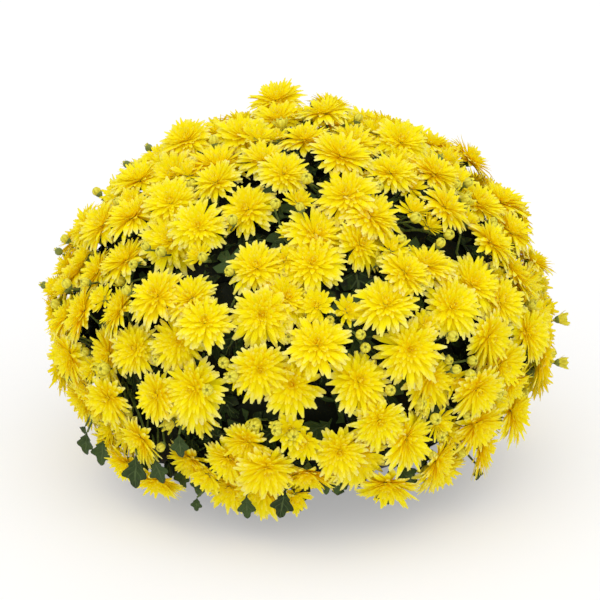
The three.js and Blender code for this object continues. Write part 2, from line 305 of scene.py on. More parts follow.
def loft(name: str, sides: int, sections: Sequence[Section]) -> bpy.types.Object:
    """Models a closed piece by extruding a ring of vertices from section to section.

    Args:
        name: The piece's name.
        sides: How many vertices the ring has.
        sections: The cross-sections. The piece runs along +Z, its width is in X, and a lift is in Y.

    Returns:
        The piece, at the origin.
    """
    merged_within = 0.04 * MM
    first = sections[0]
    deselect_all()
    bpy.ops.mesh.primitive_circle_add(vertices=sides, radius=1, fill_type="NGON")
    piece = bpy.context.object
    piece.name = name
    with editing(piece):
        bpy.ops.mesh.select_all(action="SELECT")
        bpy.ops.transform.resize(value=(first.width, first.depth, 1), center_override=(0, 0, 0))
        bpy.ops.transform.translate(value=(0, first.lift, first.along))
        for last, new in pairwise(sections):
            step = (0, new.lift - last.lift, new.along - last.along)
            grow = (new.width / last.width, new.depth / last.depth, 1)
            bpy.ops.mesh.extrude_region_move(TRANSFORM_OT_translate={"value": step})
            bpy.ops.transform.resize(value=grow, center_override=(0, new.lift, new.along))
        bpy.ops.mesh.select_all(action="SELECT")
        bpy.ops.mesh.remove_doubles(threshold=merged_within)
        bpy.ops.mesh.normals_make_consistent(inside=False)
    return piece


# ---------------------------------------------------------------- shader maths


@dataclass(frozen=True)
class Tone:
    """A socket of a material under construction, which sums and products can be written with."""

    recipe: Recipe
    socket: bpy.types.NodeSocket

    def __add__(self, other: Tone | float) -> Tone:
        """The sum of two values."""
        return self.recipe.maths("ADD", self, other)

    def __mul__(self, other: Tone | float) -> Tone:
        """The product of two values."""
        return self.recipe.maths("MULTIPLY", self, other)

    def __sub__(self, other: Tone | float) -> Tone:
        """The difference of two values."""
        return self.recipe.maths("SUBTRACT", self, other)

    def __rsub__(self, other: float) -> Tone:
        """A number less this value."""
        return self.recipe.maths("SUBTRACT", other, self)

    __radd__ = __add__
    __rmul__ = __mul__


class Recipe:
    """The node tree of one material."""

    def __init__(self, name: str) -> None:
        """Starts an empty material.

        Args:
            name: The material's name.
        """
        self.material = bpy.data.materials.new(name)
        self.material.use_nodes = True
        self.tree = self.material.node_tree
        self.tree.nodes.clear()

    def node(
        self,
        kind: str,
        settings: dict[str, object] | None = None,
        inputs: dict[str | int, object] | None = None,
        output: str = "",
    ) -> Tone:
        """Adds one node.

        Args:
            kind: The node's type, without the words ShaderNode.
            settings: What is set on the node first. The stops of a ramp are (place, colour) pairs.
            inputs: Values or links, by the sockets' names or numbers.
            output: The name of the socket that is wanted, or nothing for the first one.

        Returns:
            The wanted output.
        """
        made = self.tree.nodes.new(f"ShaderNode{kind}")
        for name, value in (settings or {}).items():
            if name == "stops":
                self._set_stops(made.color_ramp, value)
            else:
                setattr(made, name, value)
        for key, value in (inputs or {}).items():
            self._plug(made, key, value)
        outlets = [s for s in made.outputs if s.enabled and output in ("", s.name)]
        return Tone(self, outlets[0])

    @staticmethod
    def _set_stops(ramp: bpy.types.ColorRamp, stops: Sequence[tuple[float, Colour]]) -> None:
        """Gives a colour ramp its stops."""
        while len(ramp.elements) < len(stops):
            ramp.elements.new(1.0)
        for element, (place, colour) in zip(ramp.elements, stops):
            element.position = place
            element.color = colour

    def _plug(self, made: bpy.types.ShaderNode, key: str | int, value: object) -> None:
        """Sets or links one input of a node."""
        enabled = [s for s in made.inputs if s.enabled]
        socket = enabled[key] if isinstance(key, int) else next(s for s in enabled if s.name == key)
        if isinstance(value, Tone):
            self.tree.links.new(value.socket, socket)
        else:
            socket.default_value = value

    def maths(self, operation: str, *terms: Tone | float, clamp: bool = False) -> Tone:
        """A Math node on one to three values."""
        settings = {"operation": operation, "use_clamp": clamp}
        return self.node("Math", settings, dict(enumerate(terms)))

    def mix(self, share: Tone | float, a: Tone | Colour, b: Tone | Colour, blend: str = "MIX") -> Tone:
        """A mix of two colours."""
        settings = {"data_type": "RGBA", "blend_type": blend}
        return self.node("Mix", settings, {"Factor": share, "A": a, "B": b})

    def ease(self, value: Tone, low: float, high: float) -> Tone:
        """A value that rises smoothly from 0 to 1 while another one goes from low to high."""
        inputs = {"Value": value, "From Min": low, "From Max": high}
        return self.node("MapRange", {"interpolation_type": "SMOOTHSTEP"}, inputs)

    def attribute(self, name: str) -> Tone:
        """A number that the mesh has on its vertices."""
        return self.node("Attribute", {"attribute_name": name}, output="Fac")

    def place(self) -> Tone:
        """The place on the object."""
        return self.node("TexCoord", output="Object")

    def noise(self, vector: Tone, scale: float, detail: float = 3.0) -> Tone:
        """A soft random pattern, as a number."""
        return self.node("TexNoise", None, {"Vector": vector, "Scale": scale, "Detail": detail})

    def bump(self, height: Tone, distance: float, strength: float = 1.0) -> Tone:
        """A relief on the surface, as a normal."""
        return self.node("Bump", None, {"Height": height, "Distance": distance, "Strength": strength})

    def surface(self, **inputs: object) -> bpy.types.Material:
        """Ends the material with its shader.

        Args:
            inputs: The shader's inputs, with _ for a space in their names.

        Returns:
            The finished material.
        """
        named = {key.replace("_", " "): value for key, value in inputs.items()}
        shader = self.node("BsdfPrincipled", None, named)
        self.node_output(shader)
        return self.material

    def node_output(self, shader: Tone) -> None:
        """Links a shader to the material's output."""
        made = self.tree.nodes.new("ShaderNodeOutputMaterial")
        self.tree.links.new(shader.socket, made.inputs["Surface"])


# ---------------------------------------------------------------- finishes


@dataclass(frozen=True)
class PetalFinish:
    """Yellow petals: golden towards the heart, pale at the tip, finely grooved lengthwise, and a little
    darker and more golden at the root as painted shade.
    """

    # root: painted shade, a little darker and more golden than the blade, for the petals' roots deep in the
    # bloom.
    root: Colour = (0.965, 0.83, 0.001, 1)
    blade: Colour = (0.97, 0.84, 0.001, 1)
    tip: Colour = (0.97, 0.90, 0.26, 1)
    heart: Colour = (0.97, 0.81, 0.001, 1)
    green: Colour = (0.62, 0.64, 0.05, 1)
    deep: Colour = (0.97, 0.825, 0.001, 1)
    golden: Colour = (0.96, 0.78, 0.001, 1)
    grooves: float = 3.0
    groove_phase: float = 1.57
    groove_depth: float = 0.1 * MM
    speckle_scale: float = 900.0

    def material(self) -> bpy.types.Material:
        """Builds the material.

        Returns:
            The finished material.
        """
        made = Recipe("petal_yellow")
        along, across = made.attribute("along"), made.attribute("across")
        ring, tone, fresh = made.attribute("ring"), made.attribute("tone"), made.attribute("fresh")
        speckle = made.noise(made.place(), self.speckle_scale)
        blade = made.mix(tone, self.deep, self.blade)
        blade = made.mix(made.ease(ring, 0.45, 1.0) * 0.6, blade, self.heart)
        blade = made.mix(made.attribute("age"), self.golden, blade)
        # Painted shade: each petal takes the root colour towards its base, where it lies deep in the bloom.
        colour = made.mix(made.ease(along, 0.0, 0.55), self.root, blade)
        pale = made.ease(along + 0.3 * speckle, 0.85, 1.25) * (0.2 + 0.8 * tone)
        pale = pale * (1 - 0.75 * made.ease(ring, 0.1, 0.5))
        colour = made.mix(pale, colour, self.tip)
        colour = made.mix(fresh * (1 - 0.55 * made.ease(along, 0.2, 1.0)), colour, self.green)
        groove = made.maths("SINE", across * (math.pi * self.grooves) + self.groove_phase)
        relief = groove * 0.5 + speckle * 0.35
        return made.surface(
            Base_Color=colour,
            Roughness=0.6 + 0.12 * speckle,
            Specular_IOR_Level=0.02,
            Subsurface_Weight=0.15,
            Subsurface_Radius=(1.0, 0.8, 0.05),
            Subsurface_Scale=3 * MM,
            Normal=made.bump(relief, self.groove_depth),
        )


@dataclass(frozen=True)
class BudFinish:
    """Closed yellow buds: ridged where their petals lie over each other, with painted shade in the grooves
    between the ridges and a darker painted shade in the dimple at the top.
    """

    ridge: Colour = (0.86, 0.76, 0.030, 1)
    # Painted shade for the grooves between the ridges.
    seam_shade: Colour = (0.66, 0.55, 0.010, 1)
    # dimple: dark painted shade for the hollow at the top.
    dimple: Colour = (0.34, 0.29, 0.010, 1)
    green: Colour = (0.36, 0.42, 0.04, 1)
    relief: float = 0.4 * MM

    def material(self) -> bpy.types.Material:
        """Builds the material.

        Returns:
            The finished material.
        """
        made = Recipe("bud_yellow")
        along, across = made.attribute("along"), made.attribute("across")
        ring, fresh = made.attribute("ring"), made.attribute("fresh")
        mottle = made.noise(made.place(), 700.0)
        ridges = 1 - made.ease(across, 0.08, 0.30)
        # Painted shade: the grooves between the ridges take the darker groove colour.
        colour = made.mix(ridges, self.seam_shade, self.ridge)
        colour = made.mix(fresh * (1.2 - along), colour, self.green)
        # Painted shade: the dimple at the top is painted nearly dark.
        colour = made.mix(made.ease(ring, 0.6, 1.0), colour, self.dimple)
        return made.surface(
            Base_Color=colour,
            Roughness=0.55 + 0.15 * mottle,
            Specular_IOR_Level=0.2,
            Subsurface_Weight=0.2,
            Subsurface_Radius=(1.0, 0.75, 0.05),
            Subsurface_Scale=1.5 * MM,
            Normal=made.bump(ridges + 0.3 * mottle, self.relief),
        )


@dataclass(frozen=True)
class LeafFinish:
    """Dark green leaves with paler veins that branch off the midrib, and near-black painted shade: all over
    the shade core and in mottled patches on the leaves.
    """

    blade: Colour = (0.010, 0.020, 0.003, 1)
    # shade: near-black painted shade, for the whole shade core and for mottled patches of the leaves.
    shade: Colour = (0.003, 0.004, 0.001, 1)
    # light: partly painted light, the green of the skirt leaves that hang out in the light below the blooms;
    # other leaves reach it only by their random tone.
    light: Colour = (0.040, 0.074, 0.016, 1)
    vein: Colour = (0.060, 0.090, 0.024, 1)
    pairs: float = 4.5
    sweep: float = 1.3
    vein_height: float = 0.5 * MM

    def material(self) -> bpy.types.Material:
        """Builds the material.

        Returns:
            The finished material.
        """
        made = Recipe("leaf_green")
        along, across, tone = made.attribute("along"), made.attribute("across"), made.attribute("tone")
        mottle = made.noise(made.place(), 160.0)
        side = made.maths("ABSOLUTE", across)
        wave = made.maths("COSINE", (along * self.pairs - side * self.sweep) * (2 * math.pi))
        branches = made.ease(wave, 0.80, 1.0) * (1 - made.ease(side, 0.6, 1.0))
        midrib = 1 - made.ease(side, 0.03, 0.12)
        veins = made.maths("MAXIMUM", branches * 0.6, midrib)
        # Painted shade: leaves blend to near black where the mottle is low, and the core (tone -1) is near
        # black all over.
        blade = made.mix(made.ease(mottle, 0.35, 0.7) * made.ease(tone, -1.0, 0.2), self.shade, self.blade)
        # Partly painted light: high tones lighten a leaf towards the light green. Most leaves get random
        # tones, and the skirt leaves get high ones because they hang out in the light.
        blade = made.mix(made.ease(tone, 0.3, 1.1), blade, self.light)
        crinkle = made.noise(made.place(), 420.0)
        return made.surface(
            Base_Color=made.mix(veins * 0.65, blade, self.vein),
            Roughness=0.6 + 0.2 * mottle,
            Specular_IOR_Level=0.08,
            Normal=made.bump(crinkle * 0.5 - veins * 0.6, self.vein_height),
        )


@dataclass(frozen=True)
class StalkFinish:
    """The green of stems, flower stalks, cups and buds, lighter in broad patches, with fine ribs in relief.
    """

    dark: Colour = (0.042, 0.070, 0.010, 1)
    light: Colour = (0.165, 0.205, 0.028, 1)

    def material(self) -> bpy.types.Material:
        """Builds the material.

        Returns:
            The finished material.
        """
        made = Recipe("stalk_green")
        patches = made.noise(made.place(), 240.0)
        ribs = made.noise(made.place(), 1100.0, 1.0)
        paler = made.ease(patches + 0.5 * made.attribute("tone"), 0.4, 1.1)
        return made.surface(
            Base_Color=made.mix(paler, self.dark, self.light),
            Roughness=0.6 + 0.15 * ribs,
            Specular_IOR_Level=0.15,
            Normal=made.bump(ribs, 0.3 * MM),
        )


@dataclass(frozen=True)
class PotFinish:
    """Black moulded plastic of a nursery pot: faint grain, dull scuffs and a little dried soil low down."""

    plastic: Colour = (0.018, 0.019, 0.020, 1)
    scuffed: Colour = (0.050, 0.050, 0.048, 1)
    dust: Colour = (0.110, 0.080, 0.055, 1)
    dusty_below: float = 45 * MM

    def material(self) -> bpy.types.Material:
        """Builds the material.

        Returns:
            The finished material.
        """
        made = Recipe("pot_plastic")
        place = made.place()
        grain = made.noise(place, 2400.0, 2.0)
        scuffs = made.ease(made.noise(place, 55.0, 8.0), 0.52, 0.75)
        height = made.node("SeparateXYZ", None, {"Vector": place}, "Z")
        low = 1 - made.ease(height, 0.0, self.dusty_below)
        dust = low * made.ease(made.noise(place, 120.0, 6.0), 0.45, 0.7)
        colour = made.mix(scuffs * 0.6, self.plastic, self.scuffed)
        return made.surface(
            Base_Color=made.mix(dust * 0.7, colour, self.dust),
            Roughness=0.38 + 0.2 * scuffs + 0.3 * dust,
            Normal=made.bump(grain, 0.05 * MM),
        )


@dataclass(frozen=True)
class SoilFinish:
    """Dark peat soil with crumbs and pale grains in it."""

    peat: Colour = (0.012, 0.007, 0.004, 1)
    crumb: Colour = (0.060, 0.034, 0.018, 1)
    grain: Colour = (0.42, 0.38, 0.32, 1)

    def material(self) -> bpy.types.Material:
        """Builds the material.

        Returns:
            The finished material.
        """
        made = Recipe("peat_soil")
        place = made.place()
        crumbs = made.noise(place, 260.0, 6.0)
        cells = made.node("TexVoronoi", None, {"Vector": place, "Scale": 190.0}, "Distance")
        grains = 1 - made.ease(cells, 0.10, 0.16)
        colour = made.mix(made.ease(crumbs, 0.35, 0.75), self.peat, self.crumb)
        return made.surface(
            Base_Color=made.mix(grains, colour, self.grain),
            Roughness=0.95 - 0.1 * crumbs,
            Normal=made.bump(crumbs + 0.4 * grains, 4 * MM),
        )


@dataclass(frozen=True)
class BarkFinish:
    """The woody foot of the plant: brown bark with green streaks running up it."""

    brown: Colour = (0.110, 0.070, 0.032, 1)
    green: Colour = (0.120, 0.140, 0.040, 1)

    def material(self) -> bpy.types.Material:
        """Builds the material.

        Returns:
            The finished material.
        """
        made = Recipe("woody_crown")
        stretched = made.node("Mapping", None, {"Vector": made.place(), "Scale": (1, 1, 0.25)})
        streaks = made.noise(stretched, 420.0, 6.0)
        return made.surface(
            Base_Color=made.mix(made.ease(streaks, 0.4, 0.7), self.brown, self.green),
            Roughness=0.8 + 0.1 * streaks,
            Normal=made.bump(streaks, 1.2 * MM),
        )


@dataclass(frozen=True)
class FloorFinish:
    """A plain matt off-white light table."""

    paint: Colour = (0.71, 0.71, 0.71, 1)
    worn: Colour = (0.70, 0.70, 0.70, 1)
    glow: float = 0.26

    def material(self) -> bpy.types.Material:
        """Builds the material.

        Returns:
            The finished material.
        """
        made = Recipe("floor_white")
        cloud = made.noise(made.place(), 1.5)
        return made.surface(
            Base_Color=made.mix(cloud, self.worn, self.paint),
            Roughness=0.9 + 0.05 * cloud,
            Specular_IOR_Level=0.1,
            Emission_Color=(1, 1, 1, 1),
            Emission_Strength=self.glow,
        )


# ---------------------------------------------------------------- the plan of the plant


class Stage(Enum):
    """How far a bloom has opened."""

    OPEN = "open"
    HALF = "half_open"
    BUTTON = "button"
    BUD = "bud"
    KNOT = "green_bud"


@dataclass
class Bloom:
    """One bloom or bud: where it sits, which way it faces and how wide it opens."""

    index: int
    place: Vector
    normal: Vector
    radius: float
    stage: Stage = Stage.OPEN


@dataclass
class Spray:
    """One branch of the plant, with the blooms that it carries."""

    index: int
    share: float
    azimuth: float
    place: Vector
    normal: Vector
    blooms: list[Bloom] = field(default_factory=list)
    droops: list[tuple[Vector, Droop]] = field(default_factory=list)

    @property
    def number(self) -> str:
        """The number that the spray's pieces carry in their names."""
        return f"{self.index + 1:02d}"


def nearest_spray(sprays: Sequence[Spray], place: Vector) -> Spray:
    """The spray whose middle is nearest to a place."""
    return min(sprays, key=lambda spray: (spray.place - place).length)


def rim_way(turn: float, lean: float = VIEW_ELEVATION) -> Vector:
    """A direction from the cushion's middle, in the plane that faces -Y and leans back a little.

    Args:
        turn: 0 is the +X side, 90 degrees the top, 180 the -X side and 270 the lower front edge.
        lean: How far the plane leans.

    Returns:
        The direction.
    """
    angle = math.radians(turn)
    return Vector((math.cos(angle), math.sin(lean) * math.sin(angle), math.cos(lean) * math.sin(angle)))


@dataclass(frozen=True)
class Swell:
    """A place where the cushion stands out, or in if its height is negative."""

    turn: float
    height: float
    width: float

    def push(self, way: Vector) -> Vector:
        """How far a point of the cushion is moved.

        Args:
            way: The direction of the point from the cushion's middle.

        Returns:
            The movement.
        """
        out = rim_way(self.turn)
        apart = math.degrees(way.angle(out))
        return out * (self.height * math.exp(-((apart / self.width) ** 2)))


SWELLS = (
    Swell(16, -6 * MM, 10),
    Swell(38, 8 * MM, 11),
    Swell(60, -6 * MM, 12),
    Swell(92, 8 * MM, 12),
    Swell(140, 5 * MM, 14),
    Swell(180, 12 * MM, 13),
    Swell(210, -14 * MM, 10),
    Swell(236, 33 * MM, 20),
    Swell(282, -8 * MM, 20),
    Swell(330, -17 * MM, 12),
    Swell(350, 14 * MM, 12),
)


@dataclass(frozen=True)
class Cushion:
    """The surface that the blooms stand on: a turned profile that is slimmer above its widest ring."""

    middle: float = 133 * MM
    radius: float = 201 * MM
    up: float = 168 * MM
    down: float = 163 * MM
    lowest: float = -91 * MM
    slimness: float = 1.12
    bands: int = 240
    slope_step: float = 0.01
    halvings: int = 24

    def profile(self, angle: float) -> Vector:
        """The distance from the axis and the height over the widest ring, at an angle from the top."""
        rising = math.cos(angle) > 0
        out = self.radius * max(math.sin(angle), 0.0) ** (self.slimness if rising else 1)
        return Vector((out, (self.up if rising else self.down) * math.cos(angle)))

    @cached_property
    def last(self) -> float:
        """The angle from the top at which the surface ends."""
        return math.acos(self.lowest / self.down)

    @cached_property
    def areas(self) -> list[float]:
        """The surface's area above each band's lower edge, apart from a factor."""
        rims = [self.profile(self.last * k / self.bands) for k in range(self.bands + 1)]
        grown = [0.0]
        for a, b in pairwise(rims):
            grown.append(grown[-1] + (a.x + b.x) * (b - a).length)
        return grown

    def polar_angle(self, share: float) -> float:
        """The angle from the top above which a share of the surface lies."""
        wanted = min(max(share, 0.0), 1.0) * self.areas[-1]
        k = 1
        while k < self.bands and self.areas[k] < wanted:
            k += 1
        part = (wanted - self.areas[k - 1]) / (self.areas[k] - self.areas[k - 1])
        return self.last * (k - 1 + part) / self.bands

    def point(self, share: float, azimuth: float) -> tuple[Vector, Vector]:
        """A point of the surface and the way that it faces there.

        Args:
            share: How much of the surface lies above the point.
            azimuth: The point's angle round the axis, in radians.

        Returns:
            The point and the outward direction.
        """
        polar = self.polar_angle(share)
        before, after = self.profile(polar - self.slope_step), self.profile(polar + self.slope_step)
        slope = Vector((before.y - after.y, after.x - before.x)).normalized()
        spot = self.profile(polar)
        round_x, round_y = math.cos(azimuth), math.sin(azimuth)
        place = Vector((spot.x * round_x, spot.x * round_y, self.middle + spot.y))
        return place, Vector((slope.x * round_x, slope.x * round_y, slope.y))

    def reach(self, way: Vector) -> float:
        """How far the surface is from the cushion's middle, in a direction.

        Args:
            way: The direction, of length 1.

        Returns:
            The distance.
        """
        wanted = math.acos(way.z)
        low, high = 0.0, math.pi
        for _ in range(self.halvings):
            angle = (low + high) / 2
            spot = self.profile(angle)
            if math.atan2(spot.x, spot.y) < wanted:
                low = angle
            else:
                high = angle
        return self.profile(low).length


@dataclass(frozen=True)
class Gap:
    """An opening among the blooms through which the dark foliage shows."""

    share: float
    azimuth: float
    clear: float


GAPS = (
    Gap(0.102, 275, 27 * MM),
    Gap(0.132, 305, 28 * MM),
    Gap(0.213, 304, 29 * MM),
    Gap(0.180, 261, 36 * MM),
    Gap(0.248, 313, 27 * MM),
    Gap(0.274, 339, 28 * MM),
    Gap(0.186, 340, 27 * MM),
    Gap(0.311, 225, 27 * MM),
    Gap(0.307, 246, 29 * MM),
    Gap(0.355, 250, 26 * MM),
    Gap(0.335, 280, 36 * MM),
    Gap(0.388, 300, 27 * MM),
    Gap(0.460, 286, 31 * MM),
    Gap(0.474, 255, 31 * MM),
    Gap(0.560, 252, 32 * MM),
    Gap(0.650, 253, 27 * MM),
    Gap(0.531, 308, 34 * MM),
    Gap(0.586, 308, 27 * MM),
    Gap(0.538, 327, 27 * MM),
    Gap(0.561, 275, 29 * MM),
    Gap(0.631, 292, 30 * MM),
    Gap(0.688, 255, 32 * MM),
    Gap(0.670, 266, 28 * MM),
    Gap(0.712, 275, 26 * MM),
    Gap(0.741, 308, 27 * MM),
    Gap(0.761, 265, 29 * MM),
    Gap(0.803, 301, 27 * MM),
    Gap(0.819, 244, 29 * MM),
)


@dataclass(frozen=True)
class Poke:
    """A bud or small bloom that stands out over the edge of the cushion, at a turn as a swell's."""

    turn: float
    out: float
    stage: Stage


POKES = (
    Poke(86.5, -3 * MM, Stage.KNOT),
    Poke(57, 7 * MM, Stage.KNOT),
    Poke(61, 5 * MM, Stage.BUTTON),
    Poke(133, 3 * MM, Stage.KNOT),
    Poke(140, 2 * MM, Stage.KNOT),
    Poke(150, 4 * MM, Stage.BUD),
    Poke(166, 7 * MM, Stage.KNOT),
    Poke(163, 6 * MM, Stage.BUD),
    Poke(174, 6 * MM, Stage.KNOT),
    Poke(28, 6 * MM, Stage.KNOT),
    Poke(-1.5, 6 * MM, Stage.BUTTON),
    Poke(-11.5, 8 * MM, Stage.BUTTON),
    Poke(-19, 5 * MM, Stage.BUTTON),
    Poke(196, 4 * MM, Stage.KNOT),
)


EXTRA_BLOOMS = ((0.405, 259), (0.955, 219), (0.985, 231), (0.995, 249))
"""Open blooms that close holes in the spiral's pattern: the share above each and its azimuth in degrees."""


@dataclass(frozen=True)
class Droop:
    """A leaf that hangs out from under the lowest blooms, on a stalk of its own."""

    share: float
    azimuth: float
    out: float
    length: float
    aside: float = 0.0


DROOPS = (
    Droop(0.90, 206, 9 * MM, 20 * MM, 0.1),
    Droop(0.90, 203, 8 * MM, 11 * MM, -0.5),
    Droop(0.91, 205, -6 * MM, 14 * MM, 0.2),
    Droop(0.94, 207, 0, 24 * MM, 0.0),
    Droop(0.85, 231, 12 * MM, 27 * MM, 0.1),
    Droop(0.86, 235, 8 * MM, 20 * MM, 0.6),
    Droop(1.00, 242, 6 * MM, 12 * MM, 0.0),
    Droop(0.97, 256, 3 * MM, 19 * MM, 0.1),
    Droop(0.93, 266, 3 * MM, 23 * MM, -0.2),
    Droop(0.80, 240, -8 * MM, 19 * MM, 0.2),
    Droop(0.99, 324, 8 * MM, 12 * MM, -0.3),
)


GAP_DRAWS = {Stage.HALF: 0.58, Stage.BUTTON: 0.72, Stage.BUD: 0.97, Stage.KNOT: 1.01}
"""The draw up to which a small bloom is of each stage."""

GAP_HEIGHTS = {Stage.HALF: (-12, -2), Stage.BUTTON: (-10, 1), Stage.BUD: (-12, 2), Stage.KNOT: (-8, 3)}
"""How high a small bloom stands over the cushion, at least and at most, in millimetres."""


@dataclass
class Plan:
    """Where every spray, bloom and bud of the plant is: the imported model's places, eased apart."""

    cushion: Cushion = field(default_factory=Cushion)
    spray_count: int = 24
    bloom_count: int = 198
    first_azimuth: float = 0.6
    gather: float = 0.03
    lift: float = 8 * MM
    wander: float = 2.5 * MM
    tilt: float = 0.16
    radius: tuple[float, float] = (20.5 * MM, 26.5 * MM)
    nod: float = 0.36
    upward: tuple[float, float] = (0.35, 0.0)
    upward_fade: float = 1.6
    forward: float = 0.45
    forward_fade: float = 2.6
    tries: int = 1400
    tries_azimuth: float = 0.3
    gap_room: float = 18.5 * MM
    gap_apart: float = 50 * MM
    gap_clear: float = 29 * MM
    gap_empty: float = 13 * MM
    rounds: int = 60
    bloom_apart: float = 27.5 * MM
    homing: float = 0.06
    yielding: float = 0.3
    small_room: float = 19.0 * MM
    small_apart: float = 12 * MM
    small_share: float = 0.50
    small_size: tuple[float, float] = (0.85, 1.15)
    small_lean: float = 0.3
    bud_room: float = 15 * MM
    gap_buds: int = 3
    gap_bud_shares: tuple[float, float] = (0.45, 0.25)
    gap_bud_inset: tuple[float, float] = (13 * MM, 21 * MM)
    gap_bud_heights: tuple[float, float] = (-7, 2)
    gap_button_share: float = 0.2
    bud_lean: float = 0.4
    gaps: list[tuple[Vector, float]] = field(init=False)
    sprays: list[Spray] = field(init=False)

    def __post_init__(self) -> None:
        """Places the sprays, their open blooms and the small ones in the gaps."""
        self.sprays = [self._spray(index) for index in range(self.spray_count)]
        places = [((k + 0.5) / self.bloom_count, k * GOLDEN_ANGLE) for k in range(self.bloom_count)]
        places += [(share, math.radians(azimuth)) for share, azimuth in EXTRA_BLOOMS]
        blooms = [self._bloom(index, *place) for index, place in enumerate(places)]
        self.gaps = self._gaps(blooms)
        self._settle(blooms)
        for small in [*self._small_blooms(blooms), *self._gap_buds(blooms), *self._pokes()]:
            nearest_spray(self.sprays, small.place).blooms.append(small)
        for droop in DROOPS:
            place, normal = self.cushion.point(droop.share, math.radians(droop.azimuth))
            root = self.swelled(place) + normal * droop.out
            nearest_spray(self.sprays, root).droops.append((root, droop))

    def _spray(self, index: int) -> Spray:
        """The spray of a number."""
        share = (index + 0.5) / self.spray_count
        azimuth = index * GOLDEN_ANGLE + self.first_azimuth
        return Spray(index, share, azimuth, *self.cushion.point(share, azimuth))

    def _bloom(self, index: int, share: float, azimuth: float) -> Bloom:
        """The open bloom of a number, which is also given to its spray.

        Args:
            index: The number.
            share: How much of the cushion's surface lies above it.
            azimuth: Its angle round the axis, in radians.

        Returns:
            The bloom.
        """
        place, normal = self.cushion.point(share, azimuth)
        spray = nearest_spray(self.sprays, place)
        place = place.lerp(spray.place, self.gather) + normal * (self.lift * stray(index, 1))
        place += Vector((stray(index, 2), stray(index, 3), stray(index, 4))) * self.wander
        turn = Vector((stray(index, 5), stray(index, 6), stray(index, 7) + 0.5))
        normal = (normal + turn * self.tilt).normalized()
        bloom = Bloom(index, place, normal, between(self.radius, chance(index, 8)))
        spray.blooms.append(bloom)
        return bloom

    def swelled(self, place: Vector) -> Vector:
        """A place on or in the cushion after its swells have moved it."""
        way = place - UP * self.cushion.middle
        return place + sum((swell.push(way) for swell in SWELLS), Vector())

    def _try(self, index: int) -> tuple[Vector, Vector]:
        """A point of the cushion where a gap or a small bloom is tried, and the way out of it."""
        return self.cushion.point((index + 0.5) / self.tries, index * GOLDEN_ANGLE + self.tries_azimuth)

    def _gaps(self, blooms: Sequence[Bloom]) -> list[tuple[Vector, float]]:
        """The middles of the gaps among the blooms and how far blooms stay from each.

        Args:
            blooms: The open blooms, whose own gaps are kept at the back.

        Returns:
            The gaps.
        """
        gaps = []
        for gap in GAPS:
            place, _ = self.cushion.point(gap.share, math.radians(gap.azimuth))
            gaps.append((place, gap.clear))
        for index in range(self.tries):
            place, _ = self._try(index)
            roomy = min((bloom.place - place).length for bloom in blooms) > self.gap_room
            if place.y > 0 and roomy and all((gap - place).length > self.gap_apart for gap, _ in gaps):
                gaps.append((place, self.gap_clear))
        return gaps

    def _settle(self, blooms: Sequence[Bloom]) -> None:
        """Moves the open blooms away from the gaps and from each other, and lets each nod its own way."""
        homes = np.array([bloom.place for bloom in blooms])
        normals = np.array([bloom.normal for bloom in blooms])
        gaps = np.array([place for place, _ in self.gaps])
        clear = np.array([distance for _, distance in self.gaps])
        places = homes.copy()
        for _ in range(self.rounds):
            push = (homes - places) * self.homing
            for others, wanted in ((places, self.bloom_apart), (gaps, clear)):
                step = places[:, None] - others[None]
                apart = np.maximum(np.linalg.norm(step, axis=2), 0.1 * MM)
                close = np.where(apart < MM, 0, np.maximum(wanted - apart, 0))
                push += np.einsum("ijk,ij->ik", step, close / apart) * self.yielding
            push -= normals * np.sum(push * normals, axis=1)[:, None]
            places += push
        for bloom, place in zip(blooms, places):
            bloom.place = self.swelled(Vector(place))
            nod = Vector((stray(bloom.index, 14), stray(bloom.index, 15), stray(bloom.index, 16)))
            down = bloom.index / self.bloom_count
            lift = between(self.upward, min(down * self.upward_fade, 1))
            lean = Vector((0, -self.forward, 0)) * max(1 - down * self.forward_fade, 0)
            bloom.normal = (bloom.normal + nod * self.nod + UP * lift + lean).normalized()

    def _gap_buds(self, blooms: Sequence[Bloom]) -> list[Bloom]:
        """The round buds that stand at the edges of the gaps.

        Args:
            blooms: The open blooms, whose faces stay free.

        Returns:
            The buds.
        """
        buds = []
        for number, (middle, clear) in enumerate(self.gaps):
            normal = (middle - UP * self.cushion.middle).normalized()
            for k in range(self.gap_buds):
                seed = Seed.GAP_BUD + number * 10 + k
                if chance(seed, 1) > self.gap_bud_shares[middle.y > 0]:
                    continue
                turn = Quaternion(normal, 2 * math.pi * (k + 0.7 * chance(seed, 2)) / self.gap_buds)
                way = turn @ across_of(normal, UP)
                out = clear - between(self.gap_bud_inset, chance(seed, 3))
                height = between(self.gap_bud_heights, chance(seed, 4)) * MM
                place = self.swelled(middle + way * out + normal * height)
                if min(across_distance(bloom.normal, bloom.place, place) for bloom in blooms) < self.bud_room:
                    continue
                lean = Vector((stray(seed, 5), stray(seed, 6), stray(seed, 7) + 0.6)) * self.bud_lean
                stage = Stage.BUTTON if chance(seed, 8) < self.gap_button_share else Stage.BUD
                size = between(self.small_size, chance(seed, 9))
                buds.append(Bloom(seed, place, (normal + lean).normalized(), size, stage))
        return buds

    def _pokes(self) -> list[Bloom]:
        """The buds that stand out over the edge of the cushion."""
        buds = []
        for number, poke in enumerate(POKES):
            way = rim_way(poke.turn)
            place = self.swelled(UP * self.cushion.middle + way * self.cushion.reach(way)) + way * poke.out
            turn = Vector((stray(number, 50), stray(number, 51), stray(number, 52) + 0.8)) * self.bud_lean
            buds.append(Bloom(Seed.POKE + number, place, (way + turn).normalized(), 1.0, poke.stage))
        return buds

